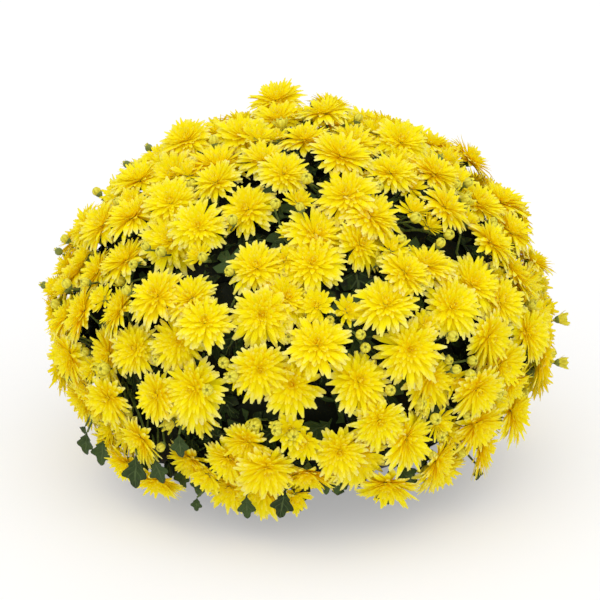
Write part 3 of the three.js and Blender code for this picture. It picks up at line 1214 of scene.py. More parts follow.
    def _small_blooms(self, blooms: Sequence[Bloom]) -> list[Bloom]:
        """Half-open blooms and buds, where the open ones leave the widest gaps.

        Args:
            blooms: The open blooms.

        Returns:
            The small ones.
        """
        small: list[Bloom] = []
        for index in range(self.tries):
            seed = Seed.SMALL_BLOOM + index
            place, normal = self._try(index)
            spot = self.swelled(place)
            if min((bloom.place - spot).length for bloom in blooms) < self.small_room:
                continue
            if min((gap - place).length for gap, _ in self.gaps) < self.gap_empty:
                continue
            if any((other.place - place).length < self.small_apart for other in small):
                continue
            if chance(seed, 9) > self.small_share:
                continue
            draw = chance(seed, 1)
            stage = next(stage for stage, limit in GAP_DRAWS.items() if draw < limit)
            place = self.swelled(place + normal * between(GAP_HEIGHTS[stage], chance(seed, 2)) * MM)
            turn = Vector((stray(seed, 3), stray(seed, 4), stray(seed, 5) + 0.8)) * self.small_lean
            radius = between(self.small_size, chance(seed, 6))
            small.append(Bloom(seed, place, (normal + turn).normalized(), radius, stage))
        return small

    def room_toward(self, spray: Spray, start: Vector, way: Vector, clearance: float) -> float:
        """How far one may go before coming too near the border with the next spray.

        Args:
            spray: The spray to stay in.
            start: Where to start from.
            way: Which way to go.
            clearance: How far to stay from the border.

        Returns:
            The distance.
        """
        room = math.inf
        for other in self.sprays:
            step = other.place - spray.place
            facing = step.dot(way)
            left = step.length_squared / 2 - clearance * step.length - (start - spray.place).dot(step)
            if facing > 0:
                room = min(room, left / facing)
        return room


# ---------------------------------------------------------------- petals and blooms


class Bend(Enum):
    """How a petal bends. Each row has its place along it, its width, how far its edges rise, and its lift."""

    ARCHED = (
        (0.0, 0.42, 0.08, 0.0),
        (0.34, 0.84, 0.15, 0.042),
        (0.74, 1.0, 0.17, 0.024),
        (1.0, 0.30, 0.08, -0.04),
    )
    RISING = ((0.0, 0.42, 0.08, 0.0), (0.62, 1.0, 0.17, 0.055), (1.0, 0.30, 0.10, 0.120))
    CUPPED = ((0.0, 0.42, 0.10, 0.0), (0.60, 1.0, 0.36, 0.120), (1.0, 0.45, 0.12, 0.300))


@dataclass(frozen=True)
class Ring:
    """One ring of a bloom's petals, in millimetres and degrees over the bloom's face."""

    count: int
    pitch: float
    length: float
    width: float
    root: float
    height: float
    bend: Bend


BLOOM_RINGS: dict[Stage, tuple[Ring, ...]] = {
    Stage.OPEN: (
        Ring(16, -2, 18.8, 4.7, 3.6, -1.2, Bend.ARCHED),
        Ring(18, 3, 19.2, 4.3, 3.5, -0.8, Bend.ARCHED),
        Ring(19, 8, 18.4, 3.9, 3.2, -0.4, Bend.ARCHED),
        Ring(18, 14, 16.8, 3.8, 2.8, 0.0, Bend.RISING),
        Ring(17, 21, 14.9, 3.6, 2.5, 0.3, Bend.RISING),
        Ring(16, 29, 12.8, 3.3, 2.1, 0.6, Bend.RISING),
        Ring(14, 39, 10.6, 3.0, 1.7, 0.8, Bend.RISING),
        Ring(11, 52, 8.3, 2.5, 1.2, 1.0, Bend.CUPPED),
        Ring(7, 68, 6.4, 2.2, 0.7, 1.1, Bend.CUPPED),
    ),
    Stage.HALF: (
        Ring(12, 14, 12.5, 4.2, 2.2, -0.5, Bend.RISING),
        Ring(11, 30, 11.8, 3.8, 1.9, 0.0, Bend.RISING),
        Ring(8, 48, 9.8, 3.4, 1.5, 0.4, Bend.CUPPED),
        Ring(5, 66, 7.6, 3.0, 0.8, 0.8, Bend.CUPPED),
    ),
    Stage.BUTTON: (Ring(11, 50, 8.2, 3.0, 3.0, -0.4, Bend.CUPPED),),
    Stage.BUD: (),
    Stage.KNOT: (Ring(6, 66, 2.8, 1.8, 1.4, 1.8, Bend.CUPPED),),
}


BALLS = {Stage.BUTTON: (4.7, 2.6), Stage.BUD: (4.0, 2.0)}
"""The closed petals in the middle of a button or bud: the ball's radius and its height, in millimetres."""

FRESHNESS = {Stage.OPEN: 0.0, Stage.HALF: 0.03, Stage.BUTTON: 0.12, Stage.BUD: 0.22, Stage.KNOT: 0.8}
"""How green the petals of each stage are at the most."""


@dataclass
class PetalMaker:
    """Models the petals that all blooms are made from: a channelled strap with a rounded tip."""

    length: float = 20 * MM
    half_width: float = 2.3 * MM
    thickness: float = 0.45 * MM

    def build(self, bend: Bend) -> bpy.types.Object:
        """Models one petal that lies along +Y with its face up.

        Args:
            bend: How it bends along its length.

        Returns:
            The petal.
        """
        sections = [
            Section(
                row * self.length,
                width * self.half_width,
                (1 - 0.5 * row) * self.thickness / 2,
                -lift * self.length,
            )
            for row, width, _, lift in bend.value
        ]
        petal = loft(f"petal_{bend.name.lower()}", 4, sections)
        with editing(petal):
            for section, (_, _, rise, _) in zip(sections, bend.value):
                edge = section.width / 2
                select_where(petal, lambda co: abs(co.z - section.along) < edge / 9 and abs(co.x) > edge)
                bpy.ops.transform.translate(value=(0, -rise * section.width, 0))
        places = places_of(petal)
        mark(petal, "along", places[:, 2] / self.length)
        mark(petal, "across", places[:, 0] / self.half_width)
        petal.data.transform(Matrix.Rotation(-math.pi / 2, 4, "X"))
        smooth(petal, 75)
        return petal


@dataclass
class BloomMaker:
    """Models a few patterns of each stage of a bloom, and sets copies of them on the plant."""

    finish: bpy.types.Material
    bud_finish: bpy.types.Material
    pattern_counts: dict[Stage, int] = field(
        default_factory=lambda: {Stage.OPEN: 6, Stage.HALF: 3, Stage.BUTTON: 2, Stage.BUD: 2, Stage.KNOT: 1}
    )
    full_radius: float = 21.8 * MM
    set_back: float = 5 * MM
    pitch_stray: float = 9.0
    turn_stray: float = 0.48
    warp: float = 5 * MM
    roll_stray: float = 12.0
    petal_lengths: tuple[float, float] = (0.74, 1.12)
    petal_widths: tuple[float, float] = (0.88, 1.1)
    hang: tuple[float, float] = (0.6 * MM, 3.0 * MM)
    hang_below: float = 0.9
    heart_radius: float = 1.7 * MM
    ball_sides: int = 12
    ball_twist: float = 0.35
    ball_outline: tuple[tuple[float, float], ...] = (
        (-0.95, 0.30), (-0.55, 0.83), (0.05, 1.0), (0.60, 0.80), (0.86, 0.46), (0.82, 0.24), (0.58, 0.08)
    )
    maker: PetalMaker = field(default_factory=PetalMaker)
    petals: dict[Bend, bpy.types.Object] = field(init=False)
    patterns: dict[Stage, list[bpy.types.Object]] = field(init=False)

    def __post_init__(self) -> None:
        """Models the petals, then the patterns of all stages."""
        self.petals = {bend: self.maker.build(bend) for bend in Bend}
        self.patterns = {
            stage: [self._pattern(stage, k) for k in range(count)]
            for stage, count in self.pattern_counts.items()
        }

    def _petal_place(self, ring: Ring, k: int, seed: int) -> Matrix:
        """Where one petal of a ring goes on the bloom.

        Args:
            ring: The ring.
            k: The petal's number in it.
            seed: The seed of the petal's strays.

        Returns:
            The petal's transform.
        """
        turn = 2 * math.pi * (k + self.turn_stray * stray(seed, 1)) / ring.count
        pitch = math.radians(ring.pitch + self.pitch_stray * stray(seed, 2))
        roll = math.radians(self.roll_stray * stray(seed, 3))
        length = ring.length * MM / self.maker.length * between(self.petal_lengths, chance(seed, 4))
        width = ring.width * MM / (2 * self.maker.half_width) * between(self.petal_widths, chance(seed, 5))
        return (
            Matrix.Rotation(turn, 4, "Z")
            @ Matrix.Translation((0, ring.root * MM, ring.height * MM))
            @ Matrix.Rotation(pitch, 4, "X")
            @ Matrix.Rotation(roll, 4, "Y")
            @ Matrix.Diagonal((width, length, length, 1))
        )

    def _pattern(self, stage: Stage, number: int) -> bpy.types.Object:
        """One pattern of a stage, with its rings of petals round a small heart."""
        rings = BLOOM_RINGS[stage]
        parts = [self._ball(*BALLS[stage]) if stage in BALLS else self._heart(rings[-1].height * MM)]
        for level, ring in enumerate(rings):
            start = Matrix.Rotation(GOLDEN_ANGLE * (level + 1), 4, "Z")
            for k in range(ring.count):
                seed = number * 1000 + level * 50 + k
                petal = copy_of(self.petals[ring.bend], start @ self._petal_place(ring, k, seed))
                mark(petal, "ring", level / 8 if stage is Stage.OPEN else 0.3 + 0.15 * level)
                mark(petal, "tone", chance(seed, 6))
                parts.append(petal)
        return join(f"{stage.value}_{number}", parts)

    def _heart(self, height: float) -> bpy.types.Object:
        """The low dome of closed florets in a bloom's middle."""
        r = self.heart_radius
        dome = [
            Section(height, r, r),
            Section(height + r * 0.6, r * 0.8, r * 0.8),
            Section(height + r, r * 0.3, r * 0.3),
        ]
        heart = loft("heart", 6, dome)
        mark(heart, "along", 0.6)
        mark(heart, "across", 0.0)
        mark(heart, "ring", 1.0)
        mark(heart, "tone", 0.0)
        return heart

    def _ball(self, radius: float, height: float) -> bpy.types.Object:
        """The round ball of a bud's closed petals, ridged and twisted, with a dimple where they meet.

        Args:
            radius: The ball's radius, in millimetres.
            height: The height of its middle, in millimetres.

        Returns:
            The ball.
        """
        r = radius * MM
        sections = [Section((z * radius + height) * MM, out * r, out * r) for z, out in self.ball_outline]
        ball = loft("ball", self.ball_sides, sections)
        places = places_of(ball)
        level = places[:, 2] / r - height / radius
        out = np.hypot(places[:, 0], places[:, 1]) / r
        turn = np.arctan2(places[:, 1], places[:, 0]) / (2 * math.pi) * self.ball_sides
        # The dimple's vertices (ring 1) and every other vertex round the ball (across 0.33) are where the bud
        # material paints shade.
        dimple = (level > 0.5) & (out < 0.35)
        mark(ball, "along", np.where(dimple, 0.0, 0.35 + 0.25 * level))
        mark(ball, "across", np.where(np.round(turn) % 2 > 0, 0.33, 0.0))
        mark(ball, "ring", np.where(dimple, 1.0, 0.3))
        mark(ball, "tone", 0.6)
        twist = level * self.ball_twist
        x = places[:, 0] * np.cos(twist) - places[:, 1] * np.sin(twist)
        y = places[:, 0] * np.sin(twist) + places[:, 1] * np.cos(twist)
        set_places(ball, np.column_stack((x, y, places[:, 2])))
        smooth(ball, 80)
        return ball

    def _set(self, bloom: Bloom) -> bpy.types.Object:
        """A copy of a pattern in a bloom's place, sagging under its weight.

        Args:
            bloom: The bloom to make.

        Returns:
            The copy.
        """
        patterns = self.patterns[bloom.stage]
        pattern = patterns[int(chance(bloom.index, 11) * len(patterns))]
        opened = bloom.stage is Stage.OPEN
        scale = bloom.radius / self.full_radius if opened else bloom.radius
        seat = bloom.place - bloom.normal * (self.set_back if opened else 0)
        spin = 2 * math.pi * chance(bloom.index, 12)
        copy = copy_of(pattern, stand_matrix(seat, bloom.normal, spin, scale))
        mark(copy, "fresh", FRESHNESS[bloom.stage] * between((0.6, 1), chance(bloom.index, 13)))
        mark(copy, "age", between((0.3, 1), chance(bloom.index, 21)))
        self._sag(copy, seat, bloom)
        return copy

    def _sag(self, copy: bpy.types.Object, seat: Vector, bloom: Bloom) -> None:
        """Lets the petals' ends hang, the more the further down the cushion the bloom is."""
        places = places_of(copy)
        offset = places - np.array(seat)
        normal = np.array(bloom.normal)
        depth = offset @ normal
        reach = np.linalg.norm(offset - depth[:, None] * normal, axis=1) / self.full_radius
        hang = between(self.hang, min(max(self.hang_below - bloom.normal.z, 0.0), 1.0))
        places[:, 2] -= hang * reach**2
        toward = Vector((stray(bloom.index, 17), stray(bloom.index, 18), stray(bloom.index, 19)))
        side = across_of(bloom.normal, toward)
        sideways = (offset @ np.array(side)) / self.full_radius
        places += (self.warp * stray(bloom.index, 20) * sideways * reach)[:, None] * normal
        set_places(copy, places)

    def bunch(self, spray: Spray) -> None:
        """All blooms of a spray as one piece, and its closed buds as another.

        Args:
            spray: The spray.
        """
        unfolded = (Stage.OPEN, Stage.HALF)
        opened = [self._set(bloom) for bloom in spray.blooms if bloom.stage in unfolded]
        closed = [self._set(bloom) for bloom in spray.blooms if bloom.stage not in unfolded]
        dress(join(f"blooms_{spray.number}", opened), self.finish, "petal", f"bloom_bunch_{spray.number}")
        if closed:
            dress(join(f"buds_{spray.number}", closed), self.bud_finish, "petal")

    def clear(self) -> None:
        """Removes the petals and patterns, once all blooms are set."""
        discard(self.petals.values())
        for patterns in self.patterns.values():
            discard(patterns)


def dress(piece: bpy.types.Object, finish: bpy.types.Material, slot: str, *nodes: str) -> bpy.types.Object:
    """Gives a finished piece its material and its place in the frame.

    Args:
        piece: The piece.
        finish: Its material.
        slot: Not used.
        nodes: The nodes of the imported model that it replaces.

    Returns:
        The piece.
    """
    piece.data.materials.clear()
    piece.data.materials.append(finish)
    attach(piece, BODY)
    if nodes:
        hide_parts(*nodes)
    log.info("%s: %d faces", piece.name, len(piece.data.polygons))
    return piece


# ---------------------------------------------------------------- leaves


@dataclass
class LeafMaker:
    """Models lobed leaves and sets them under and between the blooms of each spray."""

    plan: Plan
    finish: bpy.types.Material
    patterns_made: int = 4
    rows: tuple[float, ...] = (0.0, 0.13, 0.24, 0.33, 0.47, 0.60, 0.70, 0.87, 1.0)
    outline: tuple[float, ...] = (0.06, 0.08, 0.80, 0.30, 1.10, 0.94, 0.34, 0.44, 0.04)
    forward: tuple[float, ...] = (0.0, 0.0, 0.07, -0.02, 0.03, 0.09, -0.03, 0.02, 0.0)
    half_width: float = 0.42
    fold: float = 0.20
    arch: float = 0.18
    wave: float = 0.07
    thickness: float = 0.5 * MM
    span: float = 30 * MM
    per_spray: int = 21
    first_azimuth: float = 1.1
    depth: tuple[float, float] = (22 * MM, 38 * MM)
    set_back_mm: float = 14
    length: tuple[float, float] = (24 * MM, 36 * MM)
    foot_share: float = 0.95
    skirt_leaves: int = 50
    skirt_size: float = 0.62
    skirt_inset: tuple[float, float] = (36 * MM, 52 * MM)
    skirt_heights: tuple[float, float] = (46 * MM, 66 * MM)
    # The skirt leaves' tones are high, as painted light on these outer leaves.
    skirt_lit_tones: tuple[float, float] = (0.8, 1.2)
    backing_leaves: int = 96
    backing_inset: tuple[float, float] = (56 * MM, 76 * MM)
    backing_heights: tuple[float, ...] = (56 * MM, 78 * MM, 100 * MM)
    thicket_leaves: int = 66
    thicket_shares: tuple[float, float] = (0.46, 1.0)
    thicket_azimuths: tuple[float, float] = (math.radians(222), math.radians(258))
    thicket_depth: tuple[float, float] = (24 * MM, 58 * MM)
    flat_leaves: int = 8
    flat_azimuths: tuple[float, float] = (math.radians(232), math.radians(256))
    flat_radius: float = 99 * MM
    flat_heights: tuple[float, float] = (98 * MM, 118 * MM)
    hanging_tones: tuple[float, float] = (0.5, 0.85)
    lowest: float = 26 * MM
    shade_core_sections: tuple[tuple[float, float], ...] = (
        (-58, 9), (-52, 54), (-46, 84), (-41, 82), (-34, 44), (-26, 8)
    )
    shade_core_clearance: float = 1.5 * MM
    shade_core_lowest: float = 34 * MM
    shade_core_sides: int = 12
    patterns: list[bpy.types.Object] = field(init=False)
    fine_patterns: list[bpy.types.Object] = field(init=False)

    def __post_init__(self) -> None:
        """Models the leaves that all others are copied from."""
        self.patterns = [self._leaf(number, fine=False) for number in range(self.patterns_made)]
        self.fine_patterns = [self._leaf(number, fine=True) for number in range(self.patterns_made)]

    def _leaf(self, number: int, fine: bool) -> bpy.types.Object:
        """One leaf of unit length along +Y, its face up, lobed on both sides and folded at the midrib.

        Args:
            number: The pattern's number, for its strays.
            fine: Whether its outline is rounded by one subdivision.

        Returns:
            The leaf.
        """
        deselect_all()
        bpy.ops.mesh.primitive_grid_add(x_subdivisions=4, y_subdivisions=len(self.rows) - 1, size=2)
        leaf = bpy.context.object
        leaf.name = f"leaf_{number}"
        start = places_of(leaf)
        mark(leaf, "across", start[:, 0])
        mark(leaf, "along", np.interp(start[:, 1], np.linspace(-1, 1, len(self.rows)), self.rows))
        with editing(leaf):
            for k, (row, width, ahead) in enumerate(zip(self.rows, self.outline, self.forward)):
                self._shape_row(leaf, number, k, row, width, ahead)
        if fine:
            rounding = leaf.modifiers.new("rounding", "SUBSURF")
            rounding.levels = rounding.render_levels = 1
        blade = leaf.modifiers.new("blade", "SOLIDIFY")
        blade.thickness = self.thickness / self.span
        blade.offset = 0
        apply_modifiers(leaf)
        smooth(leaf, 60)
        return leaf

    def _shape_row(
        self, leaf: bpy.types.Object, number: int, k: int, row: float, width: float, ahead: float
    ) -> None:
        """Moves one row of the leaf's grid to its place and gives it its width and its fold.

        The row is set aside while it is shaped, so that no other one is selected with it.

        Args:
            leaf: The leaf, in edit mode.
            number: The pattern's number, for its strays.
            k: The row's number.
            row: Its place along the leaf.
            width: Its share of the full half width.
            ahead: How far its ends lie further forward.
        """
        aside, beyond = 20, 15
        last = len(self.rows) - 1
        level = -1 + 2 * k / last
        seed = 300 + number * 10 + k
        half = self.half_width * width * (1 + 0.16 * stray(seed, 1))
        droop = -self.arch * row**2 + self.wave * stray(seed, 2)
        select_where(leaf, lambda co: abs(co.y - level) < 0.1 / last and abs(co.z) < 0.01)
        bpy.ops.transform.resize(value=(half, 1, 1), center_override=(0, 0, 0))
        bpy.ops.transform.translate(value=(0.03 * stray(number, 3) * row, row - level + aside, droop))
        for side in (-1, 1):
            rise = self.fold * half * (1 + 0.4 * stray(seed, 5 + side))
            select_where(leaf, lambda co: co.y > beyond and side * co.x > 0.35 * half)
            bpy.ops.transform.translate(value=(0, ahead * 0.5, rise))
            select_where(leaf, lambda co: co.y > beyond and side * co.x > 0.8 * half)
            bpy.ops.transform.translate(value=(0, ahead * 0.5, self.fold * half * 0.5))
        select_where(leaf, lambda co: co.y > beyond)
        bpy.ops.transform.translate(value=(0, -aside, 0))

    def _shade_core(self, spray: Spray) -> bpy.types.Object:
        """A near-black mass of painted shade where the spray's inner foliage would be, cut back to the
        borders with the next ones.
        """
        sections = [Section(h * MM, r * MM, r * MM) for h, r in self.shade_core_sections]
        core = loft("core", self.shade_core_sides, sections)
        core.data.transform(stand_matrix(spray.place, spray.normal, 0))
        places = places_of(core)
        for k, place in enumerate(places):
            here = Vector(place)
            start = spray.place + spray.normal * (here - spray.place).dot(spray.normal)
            way = here - start
            reach = way.length * (1 + 0.12 * stray(k, 40 + spray.index))
            room = self.plan.room_toward(spray, start, way.normalized(), self.shade_core_clearance)
            places[k] = self.plan.swelled(start + way.normalized() * min(reach, room))
            places[k][2] = max(places[k][2], self.shade_core_lowest)
        set_places(core, places)
        smooth(core, 30)
        mark(core, "along", 0.3)
        mark(core, "across", 0.4)
        # Tone -1 paints the whole core in the leaves' near-black shade colour.
        mark(core, "tone", -1.0)
        return core

    def _set(
        self, seed: int, place: Vector, forward: Vector, face: Vector, length: float = 0.0, fine: bool = False
    ) -> bpy.types.Object:
        """A copy of a leaf in its place.

        Args:
            seed: The seed of its size, pattern and colour.
            place: Where its root is.
            forward: Where it points.
            face: Roughly where its upper side faces.
            length: Its length, or nothing for a seeded one.
            fine: Whether its outline is rounded.

        Returns:
            The copy.
        """
        patterns = self.fine_patterns if fine else self.patterns
        pattern = patterns[int(chance(seed, 1) * len(patterns))]
        length = length or between(self.length, chance(seed, 2))
        copy = copy_of(pattern, axes_matrix(place, forward, face, length))
        mark(copy, "tone", chance(seed, 3))
        return copy

    def _between_blooms(self, spray: Spray) -> list[bpy.types.Object]:
        """Leaves under the blooms of a spray, facing out between them."""
        leaves = []
        total = self.per_spray * self.plan.spray_count
        for k in range(total):
            place, normal = self.plan.cushion.point((k + 0.5) / total, k * GOLDEN_ANGLE + self.first_azimuth)
            if nearest_spray(self.plan.sprays, place) is not spray:
                continue
            seed = Seed.LEAF + k
            outward = Vector((place.x, place.y, 0)).normalized()
            loose = Vector((stray(seed, 5), stray(seed, 6), stray(seed, 7)))
            way = across_of(normal, DOWN * 0.6 + outward * 0.3 + loose)
            under = place - normal * between(self.depth, chance(seed, 8))
            root = self.plan.swelled(under - way * self.set_back_mm * MM)
            leaves.append(self._set(seed, root, way + normal * between((0.0, 0.45), chance(seed, 9)), normal))
        return leaves

    def _round_the_foot(
        self, spray: Spray, count: int, inward: tuple[float, float]
    ) -> Iterator[tuple[int, Vector, Vector]]:
        """Evenly spaced places round the plant's lower edge, as far as they belong to a spray.

        Args:
            spray: The spray.
            count: How many places there are all round.
            inward: How far inside the cushion's widest ring they are, at least and at most.

        Yields:
            Each place's number, the place at the height of the cushion's edge, and the way out from the axis.
        """
        for k in range(count):
            azimuth = 2 * math.pi * (k + 0.5 * chance(k, count)) / count
            outward = Vector((math.cos(azimuth), math.sin(azimuth), 0))
            edge, _ = self.plan.cushion.point(self.foot_share, azimuth)
            if nearest_spray(self.plan.sprays, edge) is spray:
                out = self.plan.cushion.radius - between(inward, chance(k, 4 + count))
                yield k, outward * out + UP * edge.z, outward

    def _skirt(self, spray: Spray) -> Iterator[bpy.types.Object]:
        """Small leaves that hang out from under the lowest blooms."""
        for k, place, outward in self._round_the_foot(spray, self.skirt_leaves, self.skirt_inset):
            seed = Seed.SKIRT_LEAF + k
            root = self.plan.swelled(place)
            root.z = between(self.skirt_heights, chance(seed, 5))
            aside = UP.cross(outward)
            forward = DOWN + outward * between((0.2, 0.8), chance(seed, 6)) + aside * (0.8 * stray(seed, 7))
            length = between(self.length, chance(seed, 2)) * self.skirt_size
            leaf = self._set(seed, root, forward, outward + UP * 0.3, length, fine=True)
            # Painted light: skirt leaves get high tones, so they are lighter green than the leaves deeper in
            # the plant.
            mark(leaf, "tone", between(self.skirt_lit_tones, chance(seed, 8)))
            yield self._raised(leaf, self.lowest)

    def _backing(self, spray: Spray) -> Iterator[bpy.types.Object]:
        """Darker leaves behind the skirt, in rows one above the other."""
        for k, place, outward in self._round_the_foot(spray, self.backing_leaves, self.backing_inset):
            seed = Seed.BACKING_LEAF + k
            root = self.plan.swelled(place)
            root.z = self.backing_heights[k % len(self.backing_heights)] + 10 * MM * stray(seed, 5)
            forward = DOWN + outward * 0.5 + UP.cross(outward) * (0.6 * stray(seed, 7))
            leaf = self._set(seed, root, forward, outward + UP * 0.2)
            yield self._raised(leaf, self.shade_core_lowest)

    def _thicket(self, spray: Spray) -> Iterator[bpy.types.Object]:
        """Leaves that fill the cushion where it swells furthest."""
        for k in range(self.thicket_leaves):
            seed = Seed.THICKET_LEAF + k
            azimuth = between(self.thicket_azimuths, (k + 0.5) / self.thicket_leaves)
            place, normal = self.plan.cushion.point(between(self.thicket_shares, chance(seed, 4)), azimuth)
            if nearest_spray(self.plan.sprays, place) is spray:
                under = place - normal * between(self.thicket_depth, chance(seed, 6))
                root = self.plan.swelled(under) + UP * 10 * MM
                way = DOWN + normal * 0.2 + UP.cross(normal) * (0.8 * stray(seed, 7))
                yield self._raised(self._set(seed, root, way, normal), self.shade_core_lowest)

    def _flat(self, spray: Spray) -> Iterator[bpy.types.Object]:
        """Level leaves over the pot's rim, which close the view down past it."""
        for k in range(self.flat_leaves):
            seed = Seed.FLAT_LEAF + k
            azimuth = between(self.flat_azimuths, (k + 0.5) / self.flat_leaves)
            outward = Vector((math.cos(azimuth), math.sin(azimuth), 0))
            root = outward * self.flat_radius + UP * between(self.flat_heights, chance(seed, 4))
            if nearest_spray(self.plan.sprays, root) is spray:
                yield self._set(seed, root, outward + UP * 0.15, UP)

    def _hanging(self, spray: Spray) -> Iterator[bpy.types.Object]:
        """The leaves that hang on stalks of their own."""
        for number, (root, droop) in enumerate(spray.droops):
            seed = Seed.HANGING_LEAF + spray.index * 20 + number
            azimuth = math.radians(droop.azimuth)
            outward = Vector((math.cos(azimuth), math.sin(azimuth), 0))
            forward = DOWN + outward * 0.25 + UP.cross(outward) * droop.aside
            face = outward * 0.6 + Vector((0, -0.7, 0.15))
            leaf = self._set(seed, root, forward, face, droop.length, fine=True)
            mark(leaf, "tone", between(self.hanging_tones, chance(number, 90)))
            yield leaf

    @staticmethod
    def _raised(leaf: bpy.types.Object, lowest: float) -> bpy.types.Object:
        """A leaf, lifted if it hangs too low."""
        sunk = lowest - min(places_of(leaf)[:, 2])
        if sunk > 0:
            leaf.data.transform(Matrix.Translation(UP * float(sunk)))
        return leaf

    def foliage(self, spray: Spray) -> bpy.types.Object:
        """All leaves of a spray as one piece.

        Args:
            spray: The spray.

        Returns:
            The finished piece.
        """
        parts = [self._shade_core(spray)]
        low = (self._skirt, self._backing, self._thicket, self._flat, self._hanging)
        for kind in (self._between_blooms, *low):
            parts += kind(spray)
        piece = join(f"foliage_{spray.number}", parts)
        return dress(piece, self.finish, "leaf", f"leafy_stem_{spray.number}")

    def clear(self) -> None:
        """Removes the patterns."""
        discard(self.patterns + self.fine_patterns)


# ---------------------------------------------------------------- stems, cups and buds


@dataclass(frozen=True)
class Strand:
    """One stem as a Bezier stretch, with the radius at either end."""

    start: Vector
    leaving: Vector
    arriving: Vector
    end: Vector
    radii: tuple[float, float]


@dataclass
class StemMaker:
    """Models each spray's stem, the stalks that fork from it, and the cups and buds at their ends."""

    plan: Plan
    finish: bpy.types.Material
    knob: Vector = field(default_factory=lambda: Vector((0, 0, 143 * MM)))
    knob_radius: float = 17 * MM
    lowest_elevation: float = math.radians(26)
    reach: tuple[float, float] = (44 * MM, 125 * MM)
    fork_depth: float = 40 * MM
    stem_radii: tuple[float, float] = (2.9 * MM, 1.7 * MM)
    stalk_radii: tuple[float, float] = (1.3 * MM, 0.9 * MM)
    open_foot: float = 12 * MM
    small_foot: float = 4 * MM
    cup_back: float = 5 * MM
    cup: tuple[tuple[float, float], ...] = (
        (-8, 0.9), (-6.5, 2.0), (-4, 4.3), (-1.6, 5.4), (0.2, 4.6), (1.0, 2.2)
    )
    bud: tuple[tuple[float, float], ...] = (
        (-3.2, 0.8), (-2.4, 2.3), (-0.4, 3.4), (1.6, 3.2), (2.9, 2.1), (3.6, 0.7)
    )
    cup_sizes: tuple[tuple[Stage, float], ...] = ((Stage.HALF, 0.8), (Stage.BUTTON, 0.66), (Stage.BUD, 0.6))
    patterns: dict[Stage, bpy.types.Object] = field(init=False)

    def __post_init__(self) -> None:
        """Models the cup and the bud."""
        cup = loft("cup", 7, [Section(z * MM, r * MM, r * MM) for z, r in self.cup])
        bud = loft("bud", 8, [Section(z * MM, r * MM, r * MM) for z, r in self.bud])
        for pattern in (cup, bud):
            smooth(pattern, 60)
        self.patterns = {Stage.OPEN: cup, Stage.KNOT: bud}
        for stage, size in self.cup_sizes:
            self.patterns[stage] = copy_of(cup, Matrix.Scale(size, 4))

    def _stem(self, spray: Spray) -> tuple[Strand, Vector]:
        """The stem from the crown to where the stalks fork, and the fork itself."""
        elevation = math.asin(1 - spray.share * (1 - math.sin(self.lowest_elevation)))
        level = Vector((math.cos(spray.azimuth), math.sin(spray.azimuth), 0))
        way = level * math.cos(elevation) + UP * math.sin(elevation)
        fork = spray.place - spray.normal * self.fork_depth
        start = self.knob + way * (self.knob_radius - 2 * MM)
        leaving = self.knob + way * between(self.reach, spray.share)
        return Strand(start, leaving, fork - spray.normal * 30 * MM, fork, self.stem_radii), fork

    def _stalk(self, fork: Vector, spray: Spray, bloom: Bloom) -> Strand:
        """The stalk from the fork to the foot of a bloom's cup."""
        depth = self.open_foot if bloom.stage is Stage.OPEN else self.small_foot
        foot = bloom.place - bloom.normal * depth
        bow = (foot - fork).length * 0.4
        leaving = fork + spray.normal * bow * 0.6
        return Strand(fork, leaving, foot - bloom.normal * bow, foot, self.stalk_radii)

    def _tubes(self, strands: Sequence[Strand]) -> bpy.types.Object:
        """Round stems along their strands, as one mesh."""
        data = bpy.data.curves.new("stems", "CURVE")
        data.dimensions = "3D"
        data.bevel_depth = 1.0
        data.bevel_resolution = 1
        data.resolution_u = 3
        data.use_fill_caps = True
        for strand in strands:
            first, last = self._ends(data.splines.new("BEZIER"))
            first.co, first.handle_right, first.handle_left = strand.start, strand.leaving, strand.start
            last.co, last.handle_left, last.handle_right = strand.end, strand.arriving, strand.end
            first.radius, last.radius = strand.radii
        stems = bpy.data.objects.new("stems", data)
        bpy.context.scene.collection.objects.link(stems)
        deselect_all()
        stems.select_set(True)
        bpy.context.view_layer.objects.active = stems
        bpy.ops.object.convert(target="MESH")
        return bpy.context.object

    @staticmethod
    def _ends(spline: bpy.types.Spline) -> Sequence[bpy.types.BezierSplinePoint]:
        """Gives a new spline its second point and frees the handles of both."""
        spline.bezier_points.add(1)
        for point in spline.bezier_points:
            point.handle_left_type = point.handle_right_type = "FREE"
        return spline.bezier_points

    def greens(self, spray: Spray) -> bpy.types.Object:
        """The stem, stalks, cups and buds of a spray as one piece.

        Args:
            spray: The spray.

        Returns:
            The finished piece.
        """
        stem, fork = self._stem(spray)
        strands = [stem, *(self._stalk(fork, spray, bloom) for bloom in spray.blooms)]
        for root, _ in spray.droops:
            bow = root.lerp(fork, 0.3) + UP * 12 * MM
            strands.append(Strand(fork, fork + spray.normal * 20 * MM, bow, root, self.stalk_radii))
        stems = self._tubes(strands)
        mark(stems, "tone", 0.2)
        parts = [stems]
        for bloom in spray.blooms:
            back = self.cup_back if bloom.stage is Stage.OPEN else 0
            seat = stand_matrix(bloom.place - bloom.normal * back, bloom.normal, bloom.index)
            cup = copy_of(self.patterns[bloom.stage], seat)
            mark(cup, "tone", 0.4 + 0.6 * chance(bloom.index, 30))
            parts.append(cup)
        return dress(join(f"greens_{spray.number}", parts), self.finish, "leaf")

    def clear(self) -> None:
        """Removes the patterns."""
        discard(self.patterns.values())


# ---------------------------------------------------------------- pot, soil and crown


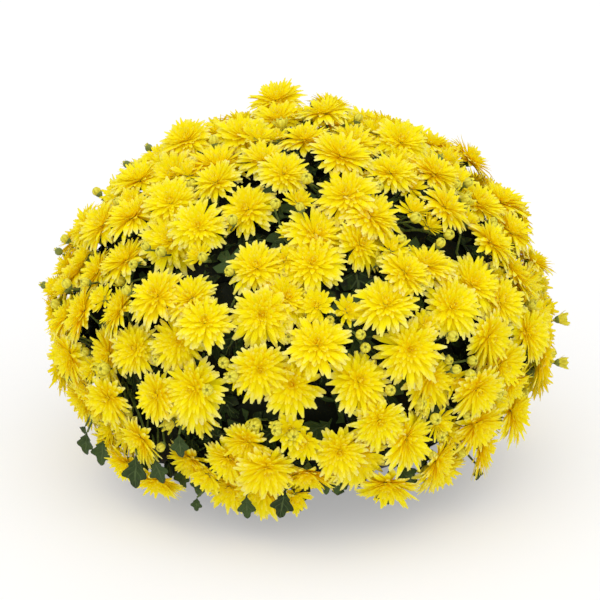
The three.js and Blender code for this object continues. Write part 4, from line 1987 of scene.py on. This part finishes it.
@dataclass
class NurseryPot:
    """A plain round nursery pot with a band round its rim and drain holes in its floor."""

    finish: bpy.types.Material
    height: float = 140 * MM
    base_radius: float = 66 * MM
    top_radius: float = 93 * MM
    wall: float = 2.4 * MM
    floor: float = 3 * MM
    band: float = 16 * MM
    band_out: float = 3 * MM
    rib_out: float = 0.5 * MM
    rib: float = 1.6 * MM
    sides: int = 96
    holes: int = 4
    hole_radius: float = 5 * MM
    hole_circle: float = 47 * MM

    def wall_radius(self, z: float) -> float:
        """The outer radius of the wall at a height."""
        return between((self.base_radius, self.top_radius), z / self.height)

    def _profile(self) -> list[Section]:
        """The pot's outline from its underside over the rim to its floor."""
        band_foot = self.height - self.band
        outline = [(0.0, self.base_radius - 1.2 * MM), (1.2 * MM, self.wall_radius(1.2 * MM))]
        for share in (0.24, 0.62):
            z = band_foot * share
            for step, out in ((0, 0), (0.4, 1), (1, 1), (1.4, 0)):
                level = z + step * self.rib
                outline.append((level, self.wall_radius(level) + out * self.rib_out))
        outline += [
            (band_foot - self.band_out, self.wall_radius(band_foot - self.band_out)),
            (band_foot - 0.6 * MM, self.wall_radius(band_foot) + self.band_out - 0.5 * MM),
            (band_foot + 0.6 * MM, self.wall_radius(band_foot) + self.band_out),
            (self.height - 1.5 * MM, self.top_radius + self.band_out),
            (self.height - 0.5 * MM, self.top_radius + self.band_out - 0.4 * MM),
            (self.height, self.top_radius + self.band_out - 1.5 * MM),
            (self.height, self.top_radius - self.wall + 0.6 * MM),
            (self.height - 0.6 * MM, self.top_radius - self.wall),
            (self.floor + 2 * MM, self.wall_radius(self.floor) - self.wall),
            (self.floor, self.wall_radius(self.floor) - self.wall - 2 * MM),
        ]
        return [Section(z, r, r) for z, r in outline]

    def build(self) -> bpy.types.Object:
        """Models the pot.

        Returns:
            The finished piece.
        """
        pot = loft("nursery_pot", self.sides, self._profile())
        drills = []
        for k in range(self.holes):
            turn = 2 * math.pi * k / self.holes
            middle = (self.hole_circle * math.cos(turn), self.hole_circle * math.sin(turn), 0)
            deselect_all()
            bpy.ops.mesh.primitive_cylinder_add(
                vertices=24, radius=self.hole_radius, depth=4 * self.floor, location=middle
            )
            drills.append(bpy.context.object)
            cut = pot.modifiers.new(f"hole_{k}", "BOOLEAN")
            cut.operation, cut.object, cut.solver = "DIFFERENCE", drills[-1], "EXACT"
        apply_modifiers(pot)
        discard(drills)
        smooth(pot, 35)
        return dress(pot, self.finish, "pot", "pot")


def repaint(node: str, finish: bpy.types.Material) -> None:
    """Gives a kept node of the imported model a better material.

    Args:
        node: The node's name.
        finish: The material.
    """
    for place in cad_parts[node].material_slots:
        place.material = finish
    log.info("%s: repainted", node)


# ---------------------------------------------------------------- floor, light and camera


@dataclass
class Studio:
    """A pale floor, a sky that is dark near the horizon, one large soft lamp above, and the camera.

    The camera sees a plain backdrop in place of the sky. The lamp leans towards -Y and towards -X.
    """

    floor_size: float = 16.0
    sky_low: tuple[float, Colour] = (0.0, (0.2, 0.2, 0.2, 1))
    sky_high: tuple[float, Colour] = (0.7, (1.0, 1.0, 1.0, 1))
    sky_strength: float = 0.80
    backdrop: Colour = (1, 1, 1, 1)
    lamp_angle: float = math.radians(100)
    lamp_strength: float = 1.52
    lamp_tilt: tuple[float, float] = (math.radians(32), math.radians(-3))
    bounces: int = 32
    elevation: float = VIEW_ELEVATION
    distance: float = 1.6
    aim: Vector = field(default_factory=lambda: Vector((-1.5 * MM, 0, 143 * MM)))
    lens: float = 115.2
    sensor: float = 36.0
    gamma: float = 1.28

    def build(self) -> None:
        """Sets up the whole studio."""
        self._floor()
        self._sky()
        self._lamp()
        self._camera()
        self._view()

    def _floor(self) -> None:
        """Lays the floor."""
        deselect_all()
        bpy.ops.mesh.primitive_plane_add(size=self.floor_size)
        floor = bpy.context.object
        floor.name = "studio_floor"
        floor.data.materials.append(FloorFinish().material())

    def _sky(self) -> None:
        """Lights the studio from all round, and puts the backdrop where the camera would see the sky."""
        world = bpy.data.worlds.new("studio_sky")
        world.use_nodes = True
        nodes, links = world.node_tree.nodes, world.node_tree.links
        sky = next(node for node in nodes if node.type == "BACKGROUND")
        end = next(node for node in nodes if node.type == "OUTPUT_WORLD")
        way, ramp = nodes.new("ShaderNodeSeparateXYZ"), nodes.new("ShaderNodeValToRGB")
        backdrop, seen = nodes.new("ShaderNodeBackground"), nodes.new("ShaderNodeMixShader")
        for stop, (height, colour) in zip(ramp.color_ramp.elements, (self.sky_low, self.sky_high)):
            stop.position = height
            stop.color = colour
        sky.inputs["Strength"].default_value = self.sky_strength
        backdrop.inputs["Color"].default_value = self.backdrop
        links.new(nodes.new("ShaderNodeTexCoord").outputs["Generated"], way.inputs["Vector"])
        links.new(way.outputs["Z"], ramp.inputs["Fac"])
        links.new(ramp.outputs["Color"], sky.inputs["Color"])
        links.new(nodes.new("ShaderNodeLightPath").outputs["Is Camera Ray"], seen.inputs[0])
        links.new(sky.outputs[0], seen.inputs[1])
        links.new(backdrop.outputs[0], seen.inputs[2])
        links.new(seen.outputs[0], end.inputs["Surface"])
        bpy.context.scene.world = world

    def _lamp(self) -> None:
        """Hangs one large soft lamp."""
        lamp = bpy.data.lights.new("soft_lamp", "SUN")
        lamp.angle = self.lamp_angle
        lamp.energy = self.lamp_strength
        holder = bpy.data.objects.new("soft_lamp", lamp)
        holder.rotation_euler = (*self.lamp_tilt, 0)
        bpy.context.scene.collection.objects.link(holder)

    def _camera(self) -> None:
        """Sets up the camera."""
        back = Vector((0, -math.cos(self.elevation), math.sin(self.elevation)))
        camera = bpy.data.cameras.new("camera")
        camera.lens, camera.sensor_width = self.lens, self.sensor
        holder = bpy.data.objects.new("camera", camera)
        holder.location = self.aim + back * self.distance
        holder.rotation_euler = (-back).to_track_quat("-Z", "Y").to_euler()
        bpy.context.scene.collection.objects.link(holder)
        bpy.context.scene.camera = holder

    def _view(self) -> None:
        """Sets how often light bounces and how the view is toned."""
        scene = bpy.context.scene
        scene.cycles.diffuse_bounces = self.bounces
        scene.cycles.max_bounces = self.bounces
        scene.view_settings.view_transform = "Standard"
        scene.view_settings.gamma = self.gamma


def main() -> None:
    """Builds the plant, its pot and the studio."""
    plan = Plan()
    blooms = BloomMaker(PetalFinish().material(), BudFinish().material())
    leaves = LeafMaker(plan, LeafFinish().material())
    stems = StemMaker(plan, StalkFinish().material())
    for spray in plan.sprays:
        blooms.bunch(spray)
        leaves.foliage(spray)
        stems.greens(spray)
    for maker in (blooms, leaves, stems):
        maker.clear()
    NurseryPot(PotFinish().material()).build()
    repaint("soil", SoilFinish().material())
    repaint("crown", BarkFinish().material())
    Studio().build()


if __name__ == "__main__":
    main()
